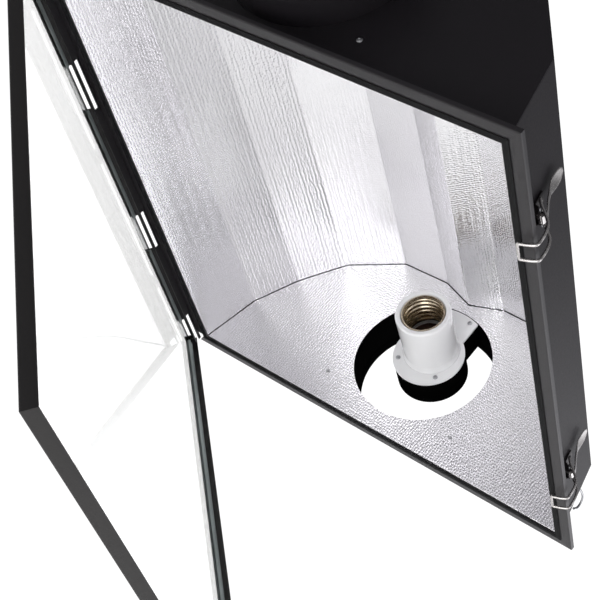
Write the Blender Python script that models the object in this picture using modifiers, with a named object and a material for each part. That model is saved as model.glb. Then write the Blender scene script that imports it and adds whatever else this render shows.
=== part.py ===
"""Air-cooled reflector hood for a grow lamp, with a hinged glass door.

Metres, +Z up.  The hood hangs from four lugs on its roof, so the world origin is the
middle of the roof's outer face.  X runs along the lamp's axis, from duct collar to duct
collar, and the two draw latches are on the -Y wall.  Most shapes are written in the
hood's own heights, where z = 0 is the plane of the lip gasket round the opening.
"""
import math

import bmesh
import bpy
from mathutils import Matrix, Vector

# ---- driving dimensions -------------------------------------------------------------
OPENING_X = 0.536            # clear length of the lit opening
OPENING_Y = 0.454            # clear width of the lit opening
ROOF_Z = 0.206               # outer face of the roof above the gasket plane
SHEET = 0.0012               # folded steel of the casing
GAP = 0.0003                 # gap between pieces that touch

# casing, half outline of its outer face from the foot of the wall to the roof
WALL_FOOT_Y = 0.2311
SHOULDER = (0.2143, 0.084)
ROOF_EDGE_Y = 0.1226
SHELL_FOOT_Z = 0.0030
END_WALL_X = 0.2694          # outer face of the end walls
END_WALL_T = 0.0010

# lip round the opening
LIP_HALF_X = 0.2845
LIP_HALF_Y = 0.2435
LIP_BOTTOM = 0.0015
HEM_TOP = 0.0060
GASKET_W = 0.0060
GASKET_T = 0.0012
FLANGE_Y = 0.2431            # outer face of the down-turned flange on the hinge side
FLANGE_HALF_X = 0.2805
FLANGE_BOTTOM = -0.0056
SLOT_Z = (-0.0044, -0.0004)
SLOTS_X = ((-0.2900, -0.2620), (-0.1460, -0.0845), (0.0610, 0.1160), (0.2330, 0.2900))

# aluminium reflector, half outline from its foot to the ridge in the middle of its top
REFLECTOR = ((0.2270, 0.0030), (0.2120, 0.0670), (0.1860, 0.1150), (0.1510, 0.1610),
             (0.0940, 0.1950), (0.0370, 0.1960), (0.0, 0.1832))
REFLECTOR_T = 0.0008
REFLECTOR_HALF_X = 0.2680
PLATE_X = (0.2672, 0.2680)
PLATE_INSET = 0.0007

# duct collars
DUCT_Z = 0.098
DUCT_HOLE_R = 0.0735
COLLAR_R = 0.0762
COLLAR_T = 0.0012
COLLAR_END_X = 0.3230
COLLAR_BEAD_X = 0.3100

# lamp socket
DISC_Z = 0.1086
CUP_Z = 0.1140
DISC_R = 0.0384
TAB_HALF = 0.0225
SOCKET_PLATE_X = (0.2679, 0.2703)
BOX_X = (0.2706, 0.3020)
CUP_RIM_X = 0.2000
CUP_RIM_R = 0.0294
CUP_BASE_R = 0.0285
CUP_BORE_R = 0.0234
SHELL_R = 0.0212
THREAD_PITCH = 0.00635
THREADS = 6

# door, in its closed position
DOOR_OPEN = math.radians(42.24)
HINGE_Y = 0.2465
HINGE_Z = 0.0040
DOOR_HALF_X = 0.2824
DOOR_HINGE_Y = 0.2449
DOOR_FREE_Y = -0.2391
DOOR_TOP = 0.0009
DOOR_BOTTOM = -0.0122
HINGE_SKIRT_TOP = -0.0009
DOOR_FLANGE = 0.0120
DOOR_SHEET = 0.0012
GLASS_Z = (-0.0109, -0.0079)
BEAD_W = 0.0032
BEAD_TOP = -0.0049
HINGE_BEAD_TOP = -0.0060
DOOR_SLOT_Z = (-0.0062, -0.0020)
DOOR_SLOTS_X = ((-0.1380, -0.0820), (0.0690, 0.1220), (0.2450, 0.2760))
ROD_R = 0.0013
KNUCKLES_X = (-0.2150, -0.0200, 0.1750)
KNUCKLE_L = 0.0200
EYE_R = 0.0026
LUG_L = 0.0060

# draw latches, on the -Y wall
LATCHES_X = (-0.1720, 0.1830)
LATCH_PIVOT = (-0.2335, 0.0250)
BAIL_PIVOT = (-0.2280, 0.0340)
BARREL_R = 0.0028
PIN_R = 0.0011
BAIL_R = 0.0012
BAIL_LEG = 0.00875           # half the spacing of a bail's legs
BAIL_DRIFT = 0.0100          # how far the bail's foot hangs off centre, along X

HANGERS = ((-0.18, 0.085), (0.18, 0.085), (-0.18, -0.085), (0.18, -0.085))
GLAND_X = 0.2150


# ---- helpers ------------------------------------------------------------------------
def clear_scene():
    """Remove whatever the open file holds."""
    for obj in list(bpy.data.objects):
        bpy.data.objects.remove(obj, do_unlink=True)


def make_collection(name):
    coll = bpy.data.collections.new(name)
    bpy.context.scene.collection.children.link(coll)
    return coll


def material(name, colour, roughness, metallic=0.0, alpha=1.0):
    """A Principled material, colour in linear RGB."""
    mat = bpy.data.materials.new(name)
    mat.use_nodes = True
    shader = mat.node_tree.nodes["Principled BSDF"]
    shader.inputs["Base Color"].default_value = (*colour, 1.0)
    shader.inputs["Roughness"].default_value = roughness
    shader.inputs["Metallic"].default_value = metallic
    shader.inputs["Alpha"].default_value = alpha
    return mat


def add_mesh(name, mesh, mat, parent=None, coll=None):
    """Link a mesh as a named object."""
    obj = bpy.data.objects.new(name, mesh)
    (coll or PARTS).objects.link(obj)
    if mat is not None:
        mesh.materials.clear()
        mesh.materials.append(mat)
    obj.parent = parent
    return obj


def add_empty(name, parent, location, turn=0.0):
    """An axis that moving pieces hang from: location, then a turn about X."""
    obj = bpy.data.objects.new(name, None)
    PARTS.objects.link(obj)
    obj.parent = parent
    obj.location = location
    obj.rotation_euler = (turn, 0.0, 0.0)
    return obj


def box_mesh(low, high):
    """A box between two corners."""
    mesh = bpy.data.meshes.new("box")
    bm = bmesh.new()
    size = Vector(high) - Vector(low)
    middle = (Vector(high) + Vector(low)) / 2
    bmesh.ops.create_cube(bm, size=1.0, matrix=Matrix.Translation(middle) @ Matrix.Diagonal((*size, 1)))
    bm.to_mesh(mesh)
    bm.free()
    return mesh


def cylinder_mesh(radius, start, end, segments=24, radius_end=None):
    """A cylinder or cone frustum between two points."""
    mesh = bpy.data.meshes.new("cylinder")
    bm = bmesh.new()
    start, end = Vector(start), Vector(end)
    turn = Vector((0, 0, 1)).rotation_difference(end - start).to_matrix().to_4x4()
    place = Matrix.Translation((start + end) / 2) @ turn
    bmesh.ops.create_cone(bm, cap_ends=True, segments=segments, radius1=radius,
                          radius2=radius if radius_end is None else radius_end,
                          depth=(end - start).length, matrix=place)
    bm.to_mesh(mesh)
    bm.free()
    return mesh


def curve_mesh(curve, place=Matrix.Identity(4)):
    """The mesh of a curve, with its caps welded."""
    holder = bpy.data.objects.new("curve", curve)
    PARTS.objects.link(holder)
    bpy.context.view_layer.update()
    graph = bpy.context.evaluated_depsgraph_get()
    mesh = bpy.data.meshes.new_from_object(holder.evaluated_get(graph))
    bm = bmesh.new()
    bm.from_mesh(mesh)
    bmesh.ops.remove_doubles(bm, verts=bm.verts, dist=0.00001)
    bmesh.ops.transform(bm, matrix=place, verts=bm.verts)
    bm.to_mesh(mesh)
    bm.free()
    bpy.data.objects.remove(holder, do_unlink=True)
    bpy.data.curves.remove(curve)
    return mesh


ALONG_X = Matrix(((0, 0, 1, 0), (1, 0, 0, 0), (0, 1, 0, 0), (0, 0, 0, 1)))


def plate_mesh(outlines, low, high, place=Matrix.Identity(4)):
    """A flat plate, drawn in its own XY plane, between two heights; inner outlines are holes."""
    curve = bpy.data.curves.new("outline", "CURVE")
    curve.dimensions = "2D"
    curve.fill_mode = "BOTH"
    curve.extrude = (high - low) / 2
    for outline in outlines:
        spline = curve.splines.new("POLY")
        spline.points.add(len(outline) - 1)
        for point, (a, b) in zip(spline.points, outline):
            point.co = (a, b, 0, 1)
        spline.use_cyclic_u = True
    lift = Matrix.Translation((0, 0, (high + low) / 2))
    return curve_mesh(curve, place @ lift)


def wire_mesh(points, radius):
    """A bent wire through the points."""
    curve = bpy.data.curves.new("wire", "CURVE")
    curve.dimensions = "3D"
    curve.bevel_depth = radius
    curve.bevel_resolution = 2
    curve.use_fill_caps = True
    spline = curve.splines.new("POLY")
    spline.points.add(len(points) - 1)
    for point, co in zip(spline.points, points):
        point.co = (*co, 1)
    return curve_mesh(curve)


def rounded(points, radius, steps=3):
    """The path with each inner corner replaced by a short arc-like bend."""
    path = [Vector(points[0])]
    for before, corner, after in zip(points, points[1:], points[2:]):
        corner = Vector(corner)
        back = Vector(before) - corner
        ahead = Vector(after) - corner
        cut = min(radius, back.length * 0.45, ahead.length * 0.45)
        start = corner + back.normalized() * cut
        end = corner + ahead.normalized() * cut
        for i in range(steps + 1):
            t = i / steps
            path.append(start * (1 - t) ** 2 + corner * 2 * t * (1 - t) + end * t * t)
    path.append(Vector(points[-1]))
    return path


def circle(radius, centre=(0.0, 0.0), steps=64):
    return [(centre[0] + radius * math.cos(2 * math.pi * i / steps),
             centre[1] + radius * math.sin(2 * math.pi * i / steps)) for i in range(steps)]


def rectangle(x0, y0, x1, y1):
    return [(x0, y0), (x1, y0), (x1, y1), (x0, y1)]


def profile_mesh(name, points):
    """Profile of a turned piece, (radius, z) points, left open where it meets the axis."""
    ring_pairs = list(zip(points, points[1:] + points[:1]))
    area = sum(a[0] * b[1] - b[0] * a[1] for a, b in ring_pairs)
    if area > 0:
        points = points[::-1]
    if min(a[0] for a in points) == 0.0:
        while points[0][0] > 0 or points[-1][0] > 0:
            points = points[1:] + points[:1]
    mesh = bpy.data.meshes.new(name)
    bm = bmesh.new()
    verts = [bm.verts.new((radius, 0, z)) for radius, z in points]
    for a, b in zip(verts, verts[1:] + verts[:1]):
        if a.co.x > 0 or b.co.x > 0:
            bm.edges.new((a, b))
    bm.to_mesh(mesh)
    bm.free()
    return mesh


def turn(obj, steps):
    """Turn an object's profile about its own Z axis."""
    screw = obj.modifiers.new("turn", "SCREW")
    screw.axis = "Z"
    screw.steps = steps
    screw.render_steps = steps
    screw.use_merge_vertices = True
    screw.merge_threshold = 0.00001


def turned(name, profile, mat, height, steps=48):
    """A piece turned about a line along X; the profile is (x, radius) points."""
    obj = add_mesh(name, profile_mesh(name, [(radius, -x) for x, radius in profile]), mat, HOOD)
    turn(obj, steps)
    obj.location = (0.0, 0.0, height)
    obj.rotation_euler = (0.0, math.radians(-90), 0.0)
    return obj


def folded_sheet(name, half_outline, half_length, thickness, mat):
    """A folded sheet, symmetric about Y = 0; its outline is the outer face."""
    mesh = bpy.data.meshes.new(name)
    bm = bmesh.new()
    verts = [bm.verts.new((-half_length, y, z)) for y, z in half_outline]
    edges = [bm.edges.new(pair) for pair in zip(verts, verts[1:])]
    pulled = bmesh.ops.extrude_edge_only(bm, edges=edges)["geom"]
    ends = [item for item in pulled if isinstance(item, bmesh.types.BMVert)]
    bmesh.ops.translate(bm, vec=(2 * half_length, 0, 0), verts=ends)
    bm.normal_update()
    if sum(face.normal.y for face in bm.faces) < 0:
        bmesh.ops.reverse_faces(bm, faces=bm.faces)
    bm.to_mesh(mesh)
    bm.free()
    obj = add_mesh(name, mesh, mat, HOOD)
    mirror = obj.modifiers.new("both halves", "MIRROR")
    mirror.use_axis = (False, True, False)
    mirror.merge_threshold = 0.00005
    solid = obj.modifiers.new("sheet", "SOLIDIFY")
    solid.thickness = thickness
    solid.offset = -1.0
    solid.use_even_offset = True
    return obj


def boolean(obj, mesh, operation):
    """Cut a shape from an object, or join it to the object."""
    tool = add_mesh(obj.name + "_tool", mesh, None, obj.parent, CUTTERS)
    tool.hide_render = True
    tool.display_type = "WIRE"
    tool.location = obj.location
    step = obj.modifiers.new(operation.lower(), "BOOLEAN")
    step.operation = operation
    step.object = tool
    step.solver = "EXACT"


# ---- casing -------------------------------------------------------------------------
def wall_y(z, offset=0.0):
    """Outer face of the side wall at a height, moved out by an offset."""
    slope = (WALL_FOOT_Y - SHOULDER[0]) / SHOULDER[1]
    return WALL_FOOT_Y - slope * z + offset * math.hypot(1, slope)


def casing_outline():
    """Half outline of the casing, from the wall's foot to the roof."""
    return [(wall_y(SHELL_FOOT_Z), SHELL_FOOT_Z), SHOULDER, (ROOF_EDGE_Y, ROOF_Z)]


def build_casing():
    half = casing_outline() + [(0.0, ROOF_Z)]
    shell = folded_sheet("housing_shell", half, END_WALL_X - END_WALL_T - GAP, SHEET, BLACK)
    boolean(shell, cylinder_mesh(0.0085, (GLAND_X, 0, ROOF_Z - 0.01), (GLAND_X, 0, ROOF_Z + 0.01)),
            "DIFFERENCE")
    right = casing_outline()
    outline = right + [(-y, z) for y, z in reversed(right)]
    for name, side in (("near_end_wall", -1), ("far_end_wall", 1)):
        inner, outer = sorted((side * (END_WALL_X - END_WALL_T), side * END_WALL_X))
        hole = circle(COLLAR_R + 0.0004, (0.0, DUCT_Z))
        add_mesh(name, plate_mesh([outline, hole], inner, outer, ALONG_X), BLACK, HOOD)


def build_lip():
    """Flange round the opening, hemmed on three sides and turned down on the hinge side."""
    top = LIP_BOTTOM + SHEET
    outer = rectangle(-LIP_HALF_X, -LIP_HALF_Y, LIP_HALF_X, FLANGE_Y)
    inner = rectangle(-OPENING_X / 2, -OPENING_Y / 2, OPENING_X / 2, OPENING_Y / 2)
    lip = add_mesh("lip_frame", plate_mesh([outer, inner], LIP_BOTTOM, top), BLACK, HOOD)
    hem_low = LIP_BOTTOM + SHEET / 2
    hems = [((-LIP_HALF_X, -LIP_HALF_Y, hem_low), (LIP_HALF_X, -LIP_HALF_Y + SHEET, HEM_TOP)),
            ((-LIP_HALF_X, -LIP_HALF_Y + SHEET / 2, hem_low), (SHEET - LIP_HALF_X, FLANGE_Y, HEM_TOP)),
            ((LIP_HALF_X - SHEET, -LIP_HALF_Y + SHEET / 2, hem_low), (LIP_HALF_X, FLANGE_Y, HEM_TOP))]
    for low, high in hems:
        boolean(lip, box_mesh(low, high), "UNION")
    boolean(lip, box_mesh((-FLANGE_HALF_X, FLANGE_Y - SHEET, FLANGE_BOTTOM),
                          (FLANGE_HALF_X, FLANGE_Y, hem_low)), "UNION")
    for low, high in SLOTS_X:
        boolean(lip, box_mesh((low, FLANGE_Y - 0.004, SLOT_Z[0]), (high, FLANGE_Y + 0.004, SLOT_Z[1])),
                "DIFFERENCE")
    pad = rectangle(-OPENING_X / 2 - GASKET_W, -OPENING_Y / 2 - GASKET_W,
                    OPENING_X / 2 + GASKET_W, OPENING_Y / 2 + GASKET_W)
    add_mesh("lip_gasket", plate_mesh([pad, inner], 0.0, GASKET_T), FOAM, HOOD)


# ---- reflector ----------------------------------------------------------------------
def build_reflector():
    outer = [(y + (REFLECTOR_T if y > 0 else 0), z + (REFLECTOR_T if z > 0.1 else 0))
             for y, z in REFLECTOR]
    folded_sheet("reflector_hood", outer, REFLECTOR_HALF_X, REFLECTOR_T, ALUMINIUM)
    right = [(y - PLATE_INSET, z - (PLATE_INSET if z > 0.1 else 0)) for y, z in REFLECTOR[:-1]]
    peak = [(0.0, REFLECTOR[-1][1] - PLATE_INSET)]
    outline = right + peak + [(-y, z) for y, z in reversed(right)]
    hole = circle(DUCT_HOLE_R, (0.0, DUCT_Z))
    for name, side in (("reflector_near_plate", -1), ("reflector_far_plate", 1)):
        low, high = sorted((side * PLATE_X[0], side * PLATE_X[1]))
        add_mesh(name, plate_mesh([outline, hole], low, high, ALONG_X), ALUMINIUM, HOOD)


# ---- duct collars -------------------------------------------------------------------
def build_collars():
    """Two spigots of folded sheet with a raised bead near the mouth."""
    start = PLATE_X[1] + 0.0006
    bead = 0.0016
    outer = [(start, COLLAR_R), (COLLAR_BEAD_X - 0.004, COLLAR_R), (COLLAR_BEAD_X - 0.002, COLLAR_R + bead),
             (COLLAR_BEAD_X + 0.002, COLLAR_R + bead), (COLLAR_BEAD_X + 0.004, COLLAR_R),
             (COLLAR_END_X, COLLAR_R)]
    inner = [(COLLAR_END_X, COLLAR_R - COLLAR_T), (start, COLLAR_R - COLLAR_T)]
    for name, side in (("duct_collar_near", -1), ("duct_collar_far", 1)):
        profile = [(side * x, r) for x, r in outer + inner]
        turned(name, profile, BLACK, DUCT_Z, steps=64)


# ---- lamp socket --------------------------------------------------------------------
def keyhole(radius, half_width, reach, steps=40):
    """Outline of a disc with a tab going up to the duct's round edge."""
    start = math.acos(half_width / radius)
    sweep = [start - (2 * start + math.pi) * i / steps for i in range(steps + 1)]
    disc = [(radius * math.cos(a), DISC_Z + radius * math.sin(a)) for a in sweep]
    end = math.acos(half_width / reach)
    tab = [math.pi - end - (math.pi - 2 * end) * i / 8 for i in range(9)]
    return disc + [(reach * math.cos(a), DUCT_Z + reach * math.sin(a)) for a in tab]


def build_socket():
    reach = DUCT_HOLE_R - 0.0008
    face = keyhole(DISC_R, TAB_HALF, reach)
    add_mesh("socket_plate", plate_mesh([face], *SOCKET_PLATE_X, ALONG_X), ENAMEL, HOOD)
    case = keyhole(DISC_R - 0.0005, TAB_HALF - 0.0005, reach)
    hollow = keyhole(DISC_R - 0.0025, TAB_HALF - 0.0025, reach - 0.002)
    socket_box = add_mesh("socket_box", plate_mesh([case], *BOX_X, ALONG_X), BLACK, HOOD)
    boolean(socket_box, plate_mesh([hollow], BOX_X[0] - 0.002, BOX_X[1] - 0.0015, ALONG_X), "DIFFERENCE")

    base = SOCKET_PLATE_X[0] - GAP
    cup = [(base, 0.0), (base, CUP_BASE_R + 0.0022), (base - 0.004, CUP_BASE_R + 0.0012),
           (base - 0.010, CUP_BASE_R), (CUP_RIM_X + 0.004, CUP_RIM_R), (CUP_RIM_X + 0.001, CUP_RIM_R - 0.0012),
           (CUP_RIM_X, CUP_RIM_R - 0.003), (CUP_RIM_X, CUP_BORE_R + 0.0014),
           (CUP_RIM_X + 0.002, CUP_BORE_R), (base - 0.016, CUP_BORE_R), (base - 0.016, 0.0)]
    turned("socket_cup", cup, PORCELAIN, CUP_Z)

    mouth = CUP_RIM_X + 0.003
    thread = [(mouth, CUP_BORE_R - 0.0006)]
    for i in range(2 * THREADS + 1):
        thread.append((mouth + 0.003 + THREAD_PITCH * i / 2, SHELL_R - 0.0009 * math.cos(math.pi * i)))
    wall = [(x, r - 0.0005) for x, r in reversed(thread)]
    turned("screw_shell", thread + wall, NICKEL, CUP_Z, steps=40)
    floor = base - 0.016 - GAP
    turned("socket_insulator", [(floor, 0.0), (floor, CUP_BORE_R - 0.001), (floor - 0.003, CUP_BORE_R - 0.001),
                                (floor - 0.003, 0.0)], PHENOLIC, CUP_Z)
    seat = floor - 0.003 - GAP
    turned("centre_contact", [(seat, 0.0), (seat, 0.0052), (seat - 0.005, 0.0052), (seat - 0.008, 0.0042),
                              (seat - 0.010, 0.0022), (seat - 0.0106, 0.0)], BRASS, CUP_Z, steps=24)

    front = SOCKET_PLATE_X[0] - GAP
    spots = [(0.0255, DISC_Z - 0.0200), (-0.0235, DISC_Z - 0.0205), (0.0144, 0.1640), (-0.0144, 0.1640)]
    for number, (y, z) in enumerate(spots, 1):
        add_mesh("socket_screw_%d" % number, cylinder_mesh(0.0026, (front - 0.0014, y, z), (front, y, z), 16),
                 STEEL, HOOD)
    add_mesh("terminal_block", box_mesh((0.2735, -0.016, 0.096), (0.2880, 0.016, 0.124)), PHENOLIC, HOOD)


def build_gland():
    """Strain relief in the roof, where the lamp's lead would leave."""
    top = ROOF_Z + GAP
    profile = [(0.0052, top + 0.0140), (0.0070, top + 0.0135), (0.0078, top + 0.0050), (0.0125, top + 0.0050),
               (0.0125, top), (0.0082, top), (0.0082, top - 0.0060), (0.0052, top - 0.0060)]
    gland = add_mesh("lead_gland", profile_mesh("lead_gland", profile), RUBBER, HOOD)
    turn(gland, 24)
    gland.location = (GLAND_X, 0.0, 0.0)


# ---- hinge and door -----------------------------------------------------------------
def ring(radius, bore, low, high, steps=24):
    """A tube along X, centred on the hinge line."""
    return plate_mesh([circle(radius, steps=steps), circle(bore, steps=steps)], low, high, ALONG_X)


def arc(radius, start, end, steps):
    """Points on an arc about the origin, between two angles in degrees."""
    angles = [math.radians(start + (end - start) * i / steps) for i in range(steps + 1)]
    return [(radius * math.cos(a), radius * math.sin(a)) for a in angles]


def at_hinge(outline, middle, length):
    """A plate across the hinge line, its outline drawn about that line, as an eye round the rod."""
    place = Matrix.Translation((0.0, HINGE_Y, HINGE_Z)) @ ALONG_X
    bore = circle(ROD_R + GAP, steps=16)
    return plate_mesh([outline, bore], middle - length / 2, middle + length / 2, place)


def build_hinge():
    """Rod along the hinge line, held by lugs that stand on the lip."""
    rod_half = LIP_HALF_X - 0.012
    axis = add_empty("hinge_line", HOOD, (0.0, HINGE_Y, HINGE_Z))
    add_mesh("hinge_rod", cylinder_mesh(ROD_R, (-rod_half, 0, 0), (rod_half, 0, 0), 16), STEEL, axis)
    lip = bpy.data.objects["lip_frame"]
    foot = LIP_BOTTOM + SHEET / 2 - HINGE_Z
    under, upper = -0.0010, 0.0002
    start = 180 + math.degrees(math.asin(-under / EYE_R))
    end = 540 - math.degrees(math.asin(upper / EYE_R))
    outline = [(-0.0085, foot), (-0.0038, foot), (-0.0038, under)]
    outline += arc(EYE_R, start, end, 12)
    outline += [(-0.0085, upper)]
    offset = KNUCKLE_L / 2 + LUG_L / 2 + 0.0005
    for middle in KNUCKLES_X:
        for side in (-1, 1):
            boolean(lip, at_hinge(outline, middle + side * offset, LUG_L), "UNION")


def build_door():
    """The glazed tray, drawn closed and hung from its turned axis."""
    axis = add_empty("door_axis", HOOD, (0.0, HINGE_Y, HINGE_Z), DOOR_OPEN)
    home = (0.0, -HINGE_Y, -HINGE_Z)

    outer = rectangle(-DOOR_HALF_X, DOOR_FREE_Y, DOOR_HALF_X, DOOR_HINGE_Y)
    window = rectangle(-DOOR_HALF_X + DOOR_FLANGE, DOOR_FREE_Y + DOOR_FLANGE,
                       DOOR_HALF_X - DOOR_FLANGE, DOOR_HINGE_Y - DOOR_FLANGE)
    inside = rectangle(-DOOR_HALF_X + DOOR_SHEET, DOOR_FREE_Y + DOOR_SHEET,
                       DOOR_HALF_X - DOOR_SHEET, DOOR_HINGE_Y - DOOR_SHEET)
    frame = add_mesh("door_frame", plate_mesh([outer, window], DOOR_BOTTOM, DOOR_BOTTOM + 0.0010), BLACK, axis)
    frame.location = home
    boolean(frame, plate_mesh([outer, inside], DOOR_BOTTOM + 0.0005, DOOR_TOP), "UNION")
    boolean(frame, box_mesh((-DOOR_HALF_X + DOOR_SHEET, DOOR_HINGE_Y - 0.006, HINGE_SKIRT_TOP),
                            (DOOR_HALF_X - DOOR_SHEET, DOOR_HINGE_Y + 0.006, DOOR_TOP + 0.005)), "DIFFERENCE")
    for low, high in DOOR_SLOTS_X:
        boolean(frame, box_mesh((low, DOOR_HINGE_Y - 0.004, DOOR_SLOT_Z[0]),
                                (high, DOOR_HINGE_Y + 0.004, DOOR_SLOT_Z[1])), "DIFFERENCE")
    skirt = DOOR_HINGE_Y - HINGE_Y
    leaf = (skirt + GAP, skirt + GAP + 0.0012)
    start = 270 - math.degrees(math.asin(-leaf[1] / EYE_R))
    end = 630 - math.degrees(math.asin(-leaf[0] / EYE_R))
    outline = [(skirt - 0.0003, DOOR_BOTTOM + 0.0012 - HINGE_Z), (leaf[1], DOOR_BOTTOM + 0.0012 - HINGE_Z)]
    outline += arc(EYE_R, start, end, 12)
    outline += [(leaf[0], HINGE_SKIRT_TOP - HINGE_Z - 0.0003), (skirt - 0.0003, HINGE_SKIRT_TOP - HINGE_Z - 0.0003)]
    for middle in KNUCKLES_X:
        boolean(frame, at_hinge(outline, middle, KNUCKLE_L), "UNION")

    edge = DOOR_SHEET + 0.0005
    x1, y0, y1 = DOOR_HALF_X - edge, DOOR_FREE_Y + edge, DOOR_HINGE_Y - edge
    glass = add_mesh("door_glass", box_mesh((-x1, y0, GLASS_Z[0]), (x1, y1, GLASS_Z[1])), GLASS, axis)
    glass.location = home
    pad = [rectangle(-x1, y0, x1, y1), rectangle(-x1 + BEAD_W, y0 + BEAD_W, x1 - BEAD_W, y1 - BEAD_W)]
    bead = add_mesh("glazing_bead", plate_mesh(pad, GLASS_Z[1] + GAP, BEAD_TOP), BEAD, axis)
    bead.location = home
    boolean(bead, box_mesh((-x1 - 0.002, y1 - BEAD_W - 0.0002, HINGE_BEAD_TOP),
                           (x1 + 0.002, y1 + 0.002, BEAD_TOP + 0.002)), "DIFFERENCE")


# ---- draw latches -------------------------------------------------------------------
def build_latch(number, x):
    """Base, rivets, pin, lever and bail of one latch; the bail hooks round the lip."""
    lean = math.atan2(WALL_FOOT_Y - SHOULDER[0], SHOULDER[1])
    foot = add_empty("latch_foot_%d" % number, HOOD, (x, -wall_y(0.0), 0.0), -lean)
    half, face = 0.0060, -GAP - 0.0012
    base = add_mesh("latch_base_%d" % number, box_mesh((-half, face, 0.0120), (half, -GAP, 0.0440)), NICKEL, foot)
    pivot = Matrix.Rotation(lean, 3, "X") @ Vector((0.0, LATCH_PIVOT[0] + wall_y(0.0), LATCH_PIVOT[1]))
    py, pz = pivot.y, pivot.z
    ear = [(-0.0010, pz - 0.006), (-0.0010, pz + 0.006), (py - 0.0012, pz + 0.0026), (py - 0.0028, pz),
           (py - 0.0012, pz - 0.0026)]
    for side in (-1, 1):
        low, high = sorted((side * (half - 0.0012), side * half))
        boolean(base, plate_mesh([ear], low, high, ALONG_X), "UNION")
    boolean(base, cylinder_mesh(PIN_R + GAP, (-0.02, py, pz), (0.02, py, pz), 16), "DIFFERENCE")
    add_mesh("latch_pin_%d" % number, cylinder_mesh(PIN_R, (-0.0100, py, pz), (0.0100, py, pz), 16), STEEL, foot)
    for letter, z in (("a", 0.0155), ("b", 0.0385)):
        head = cylinder_mesh(0.0022, (0, face - GAP, z), (0, face - GAP - 0.0010, z), 12, 0.0015)
        add_mesh("latch_rivet_%d%s" % (number, letter), head, STEEL, foot)
    build_lever(number, x)
    build_bail(number, x)


def build_lever(number, x):
    """Strip curled round the pin, then running up the wall to a spoon end."""
    axis = add_empty("latch_axis_%d" % number, HOOD, (x, *LATCH_PIVOT))
    thick, barrel_half = 0.0011, 0.0044
    line = [(-0.0029, -0.0026), (-0.0032, 0.0008), (-0.0018, 0.0048), (0.0025, 0.0095), (0.0083, 0.0200),
            (0.0092, 0.0230), (0.0106, 0.0290), (0.0128, 0.0400), (0.0138, 0.0455)]
    widths = [0.0084, 0.0084, 0.0076, 0.0066, 0.0066, 0.0092, 0.0140, 0.0150, 0.0092]
    mesh = bpy.data.meshes.new("lever")
    bm = bmesh.new()
    rows = [[bm.verts.new((side * width / 2, y, z)) for side in (-1, 1)] for (y, z), width in zip(line, widths)]
    for a, b in zip(rows, rows[1:]):
        bm.faces.new((a[0], a[1], b[1], b[0]))
    bm.normal_update()
    if sum(face.normal.y for face in bm.faces) > 0:
        bmesh.ops.reverse_faces(bm, faces=bm.faces)
    bm.to_mesh(mesh)
    bm.free()
    lever = add_mesh("latch_lever_%d" % number, mesh, NICKEL, axis)
    solid = lever.modifiers.new("strip", "SOLIDIFY")
    solid.thickness = thick
    solid.offset = 0.0
    tube = [circle(BARREL_R, steps=20), circle(PIN_R + GAP, steps=20)]
    boolean(lever, plate_mesh(tube, -barrel_half, barrel_half, ALONG_X), "UNION")


def build_bail(number, x):
    """Wire loop from its pivot, out round the lip and under it."""
    axis = add_empty("bail_axis_%d" % number, HOOD, (x, *BAIL_PIVOT))
    side_path = [(0.0, 0.0), (-0.0055, -0.0040), (-0.0125, -0.0120), (-0.0185, -0.0220), (-0.0198, -0.0300),
                 (-0.0175, -0.0360), (-0.0120, -0.0376), (-0.0030, -0.0372)]
    legs = []
    for side in (-1, 1):
        legs.append([(side * BAIL_LEG - BAIL_DRIFT * z / 0.0372, y, z) for y, z in side_path])
    tail = BAIL_LEG - 0.0060
    points = [(-tail, 0.0, 0.0)] + legs[0] + legs[1][::-1] + [(tail, 0.0, 0.0)]
    add_mesh("latch_bail_%d" % number, wire_mesh(rounded(points, 0.0032, 2), BAIL_R), NICKEL, axis)


# ---- roof and trim ------------------------------------------------------------------
def build_hangers():
    """Four lugs welded to the roof, each with an eye for a hanging hook."""
    top = ROOF_Z + GAP
    for number, (x, y) in enumerate(HANGERS, 1):
        foot = box_mesh((x - 0.012, y - 0.010, top), (x + 0.012, y + 0.010, top + 0.0016))
        lug = add_mesh("hanger_lug_%d" % number, foot, STEEL, HOOD)
        fin = box_mesh((x - 0.012, y - 0.0008, top + 0.0008), (x + 0.012, y + 0.0008, top + 0.022))
        boolean(lug, fin, "UNION")
        eye = cylinder_mesh(0.0045, (x, y - 0.01, top + 0.014), (x, y + 0.01, top + 0.014), 20)
        boolean(lug, eye, "DIFFERENCE")


def build_rivets():
    """Blind rivets in both end walls, and the smaller ones that hold the reflector's plates."""
    wall, plate = END_WALL_X + GAP, PLATE_X[0] - GAP
    for end, side in (("near", -1), ("far", 1)):
        for letter, y in (("a", -0.0801), ("b", 0.0801)):
            head = cylinder_mesh(0.0026, (side * wall, y, 0.0362), (side * (wall + 0.0012), y, 0.0362), 12, 0.0018)
            add_mesh("wall_rivet_%s_%s" % (end, letter), head, STEEL, HOOD)
            stud = cylinder_mesh(0.0019, (side * plate, y, 0.0357), (side * (plate - 0.0008), y, 0.0357), 12, 0.0013)
            add_mesh("plate_rivet_%s_%s" % (end, letter), stud, ALUMINIUM, HOOD)


def build_wire_clip():
    """Small wire hook that stands off the far end wall."""
    wall, y = END_WALL_X + GAP + 0.0005, -0.2150
    path = [(wall, y, 0.0560), (0.2847, y, 0.0617), (0.2992, y, 0.0645), (0.3086, y, 0.0554), (0.3005, y, 0.0481)]
    add_mesh("wire_clip", wire_mesh(rounded(path, 0.006, 4), 0.0012), STEEL, HOOD)


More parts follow.
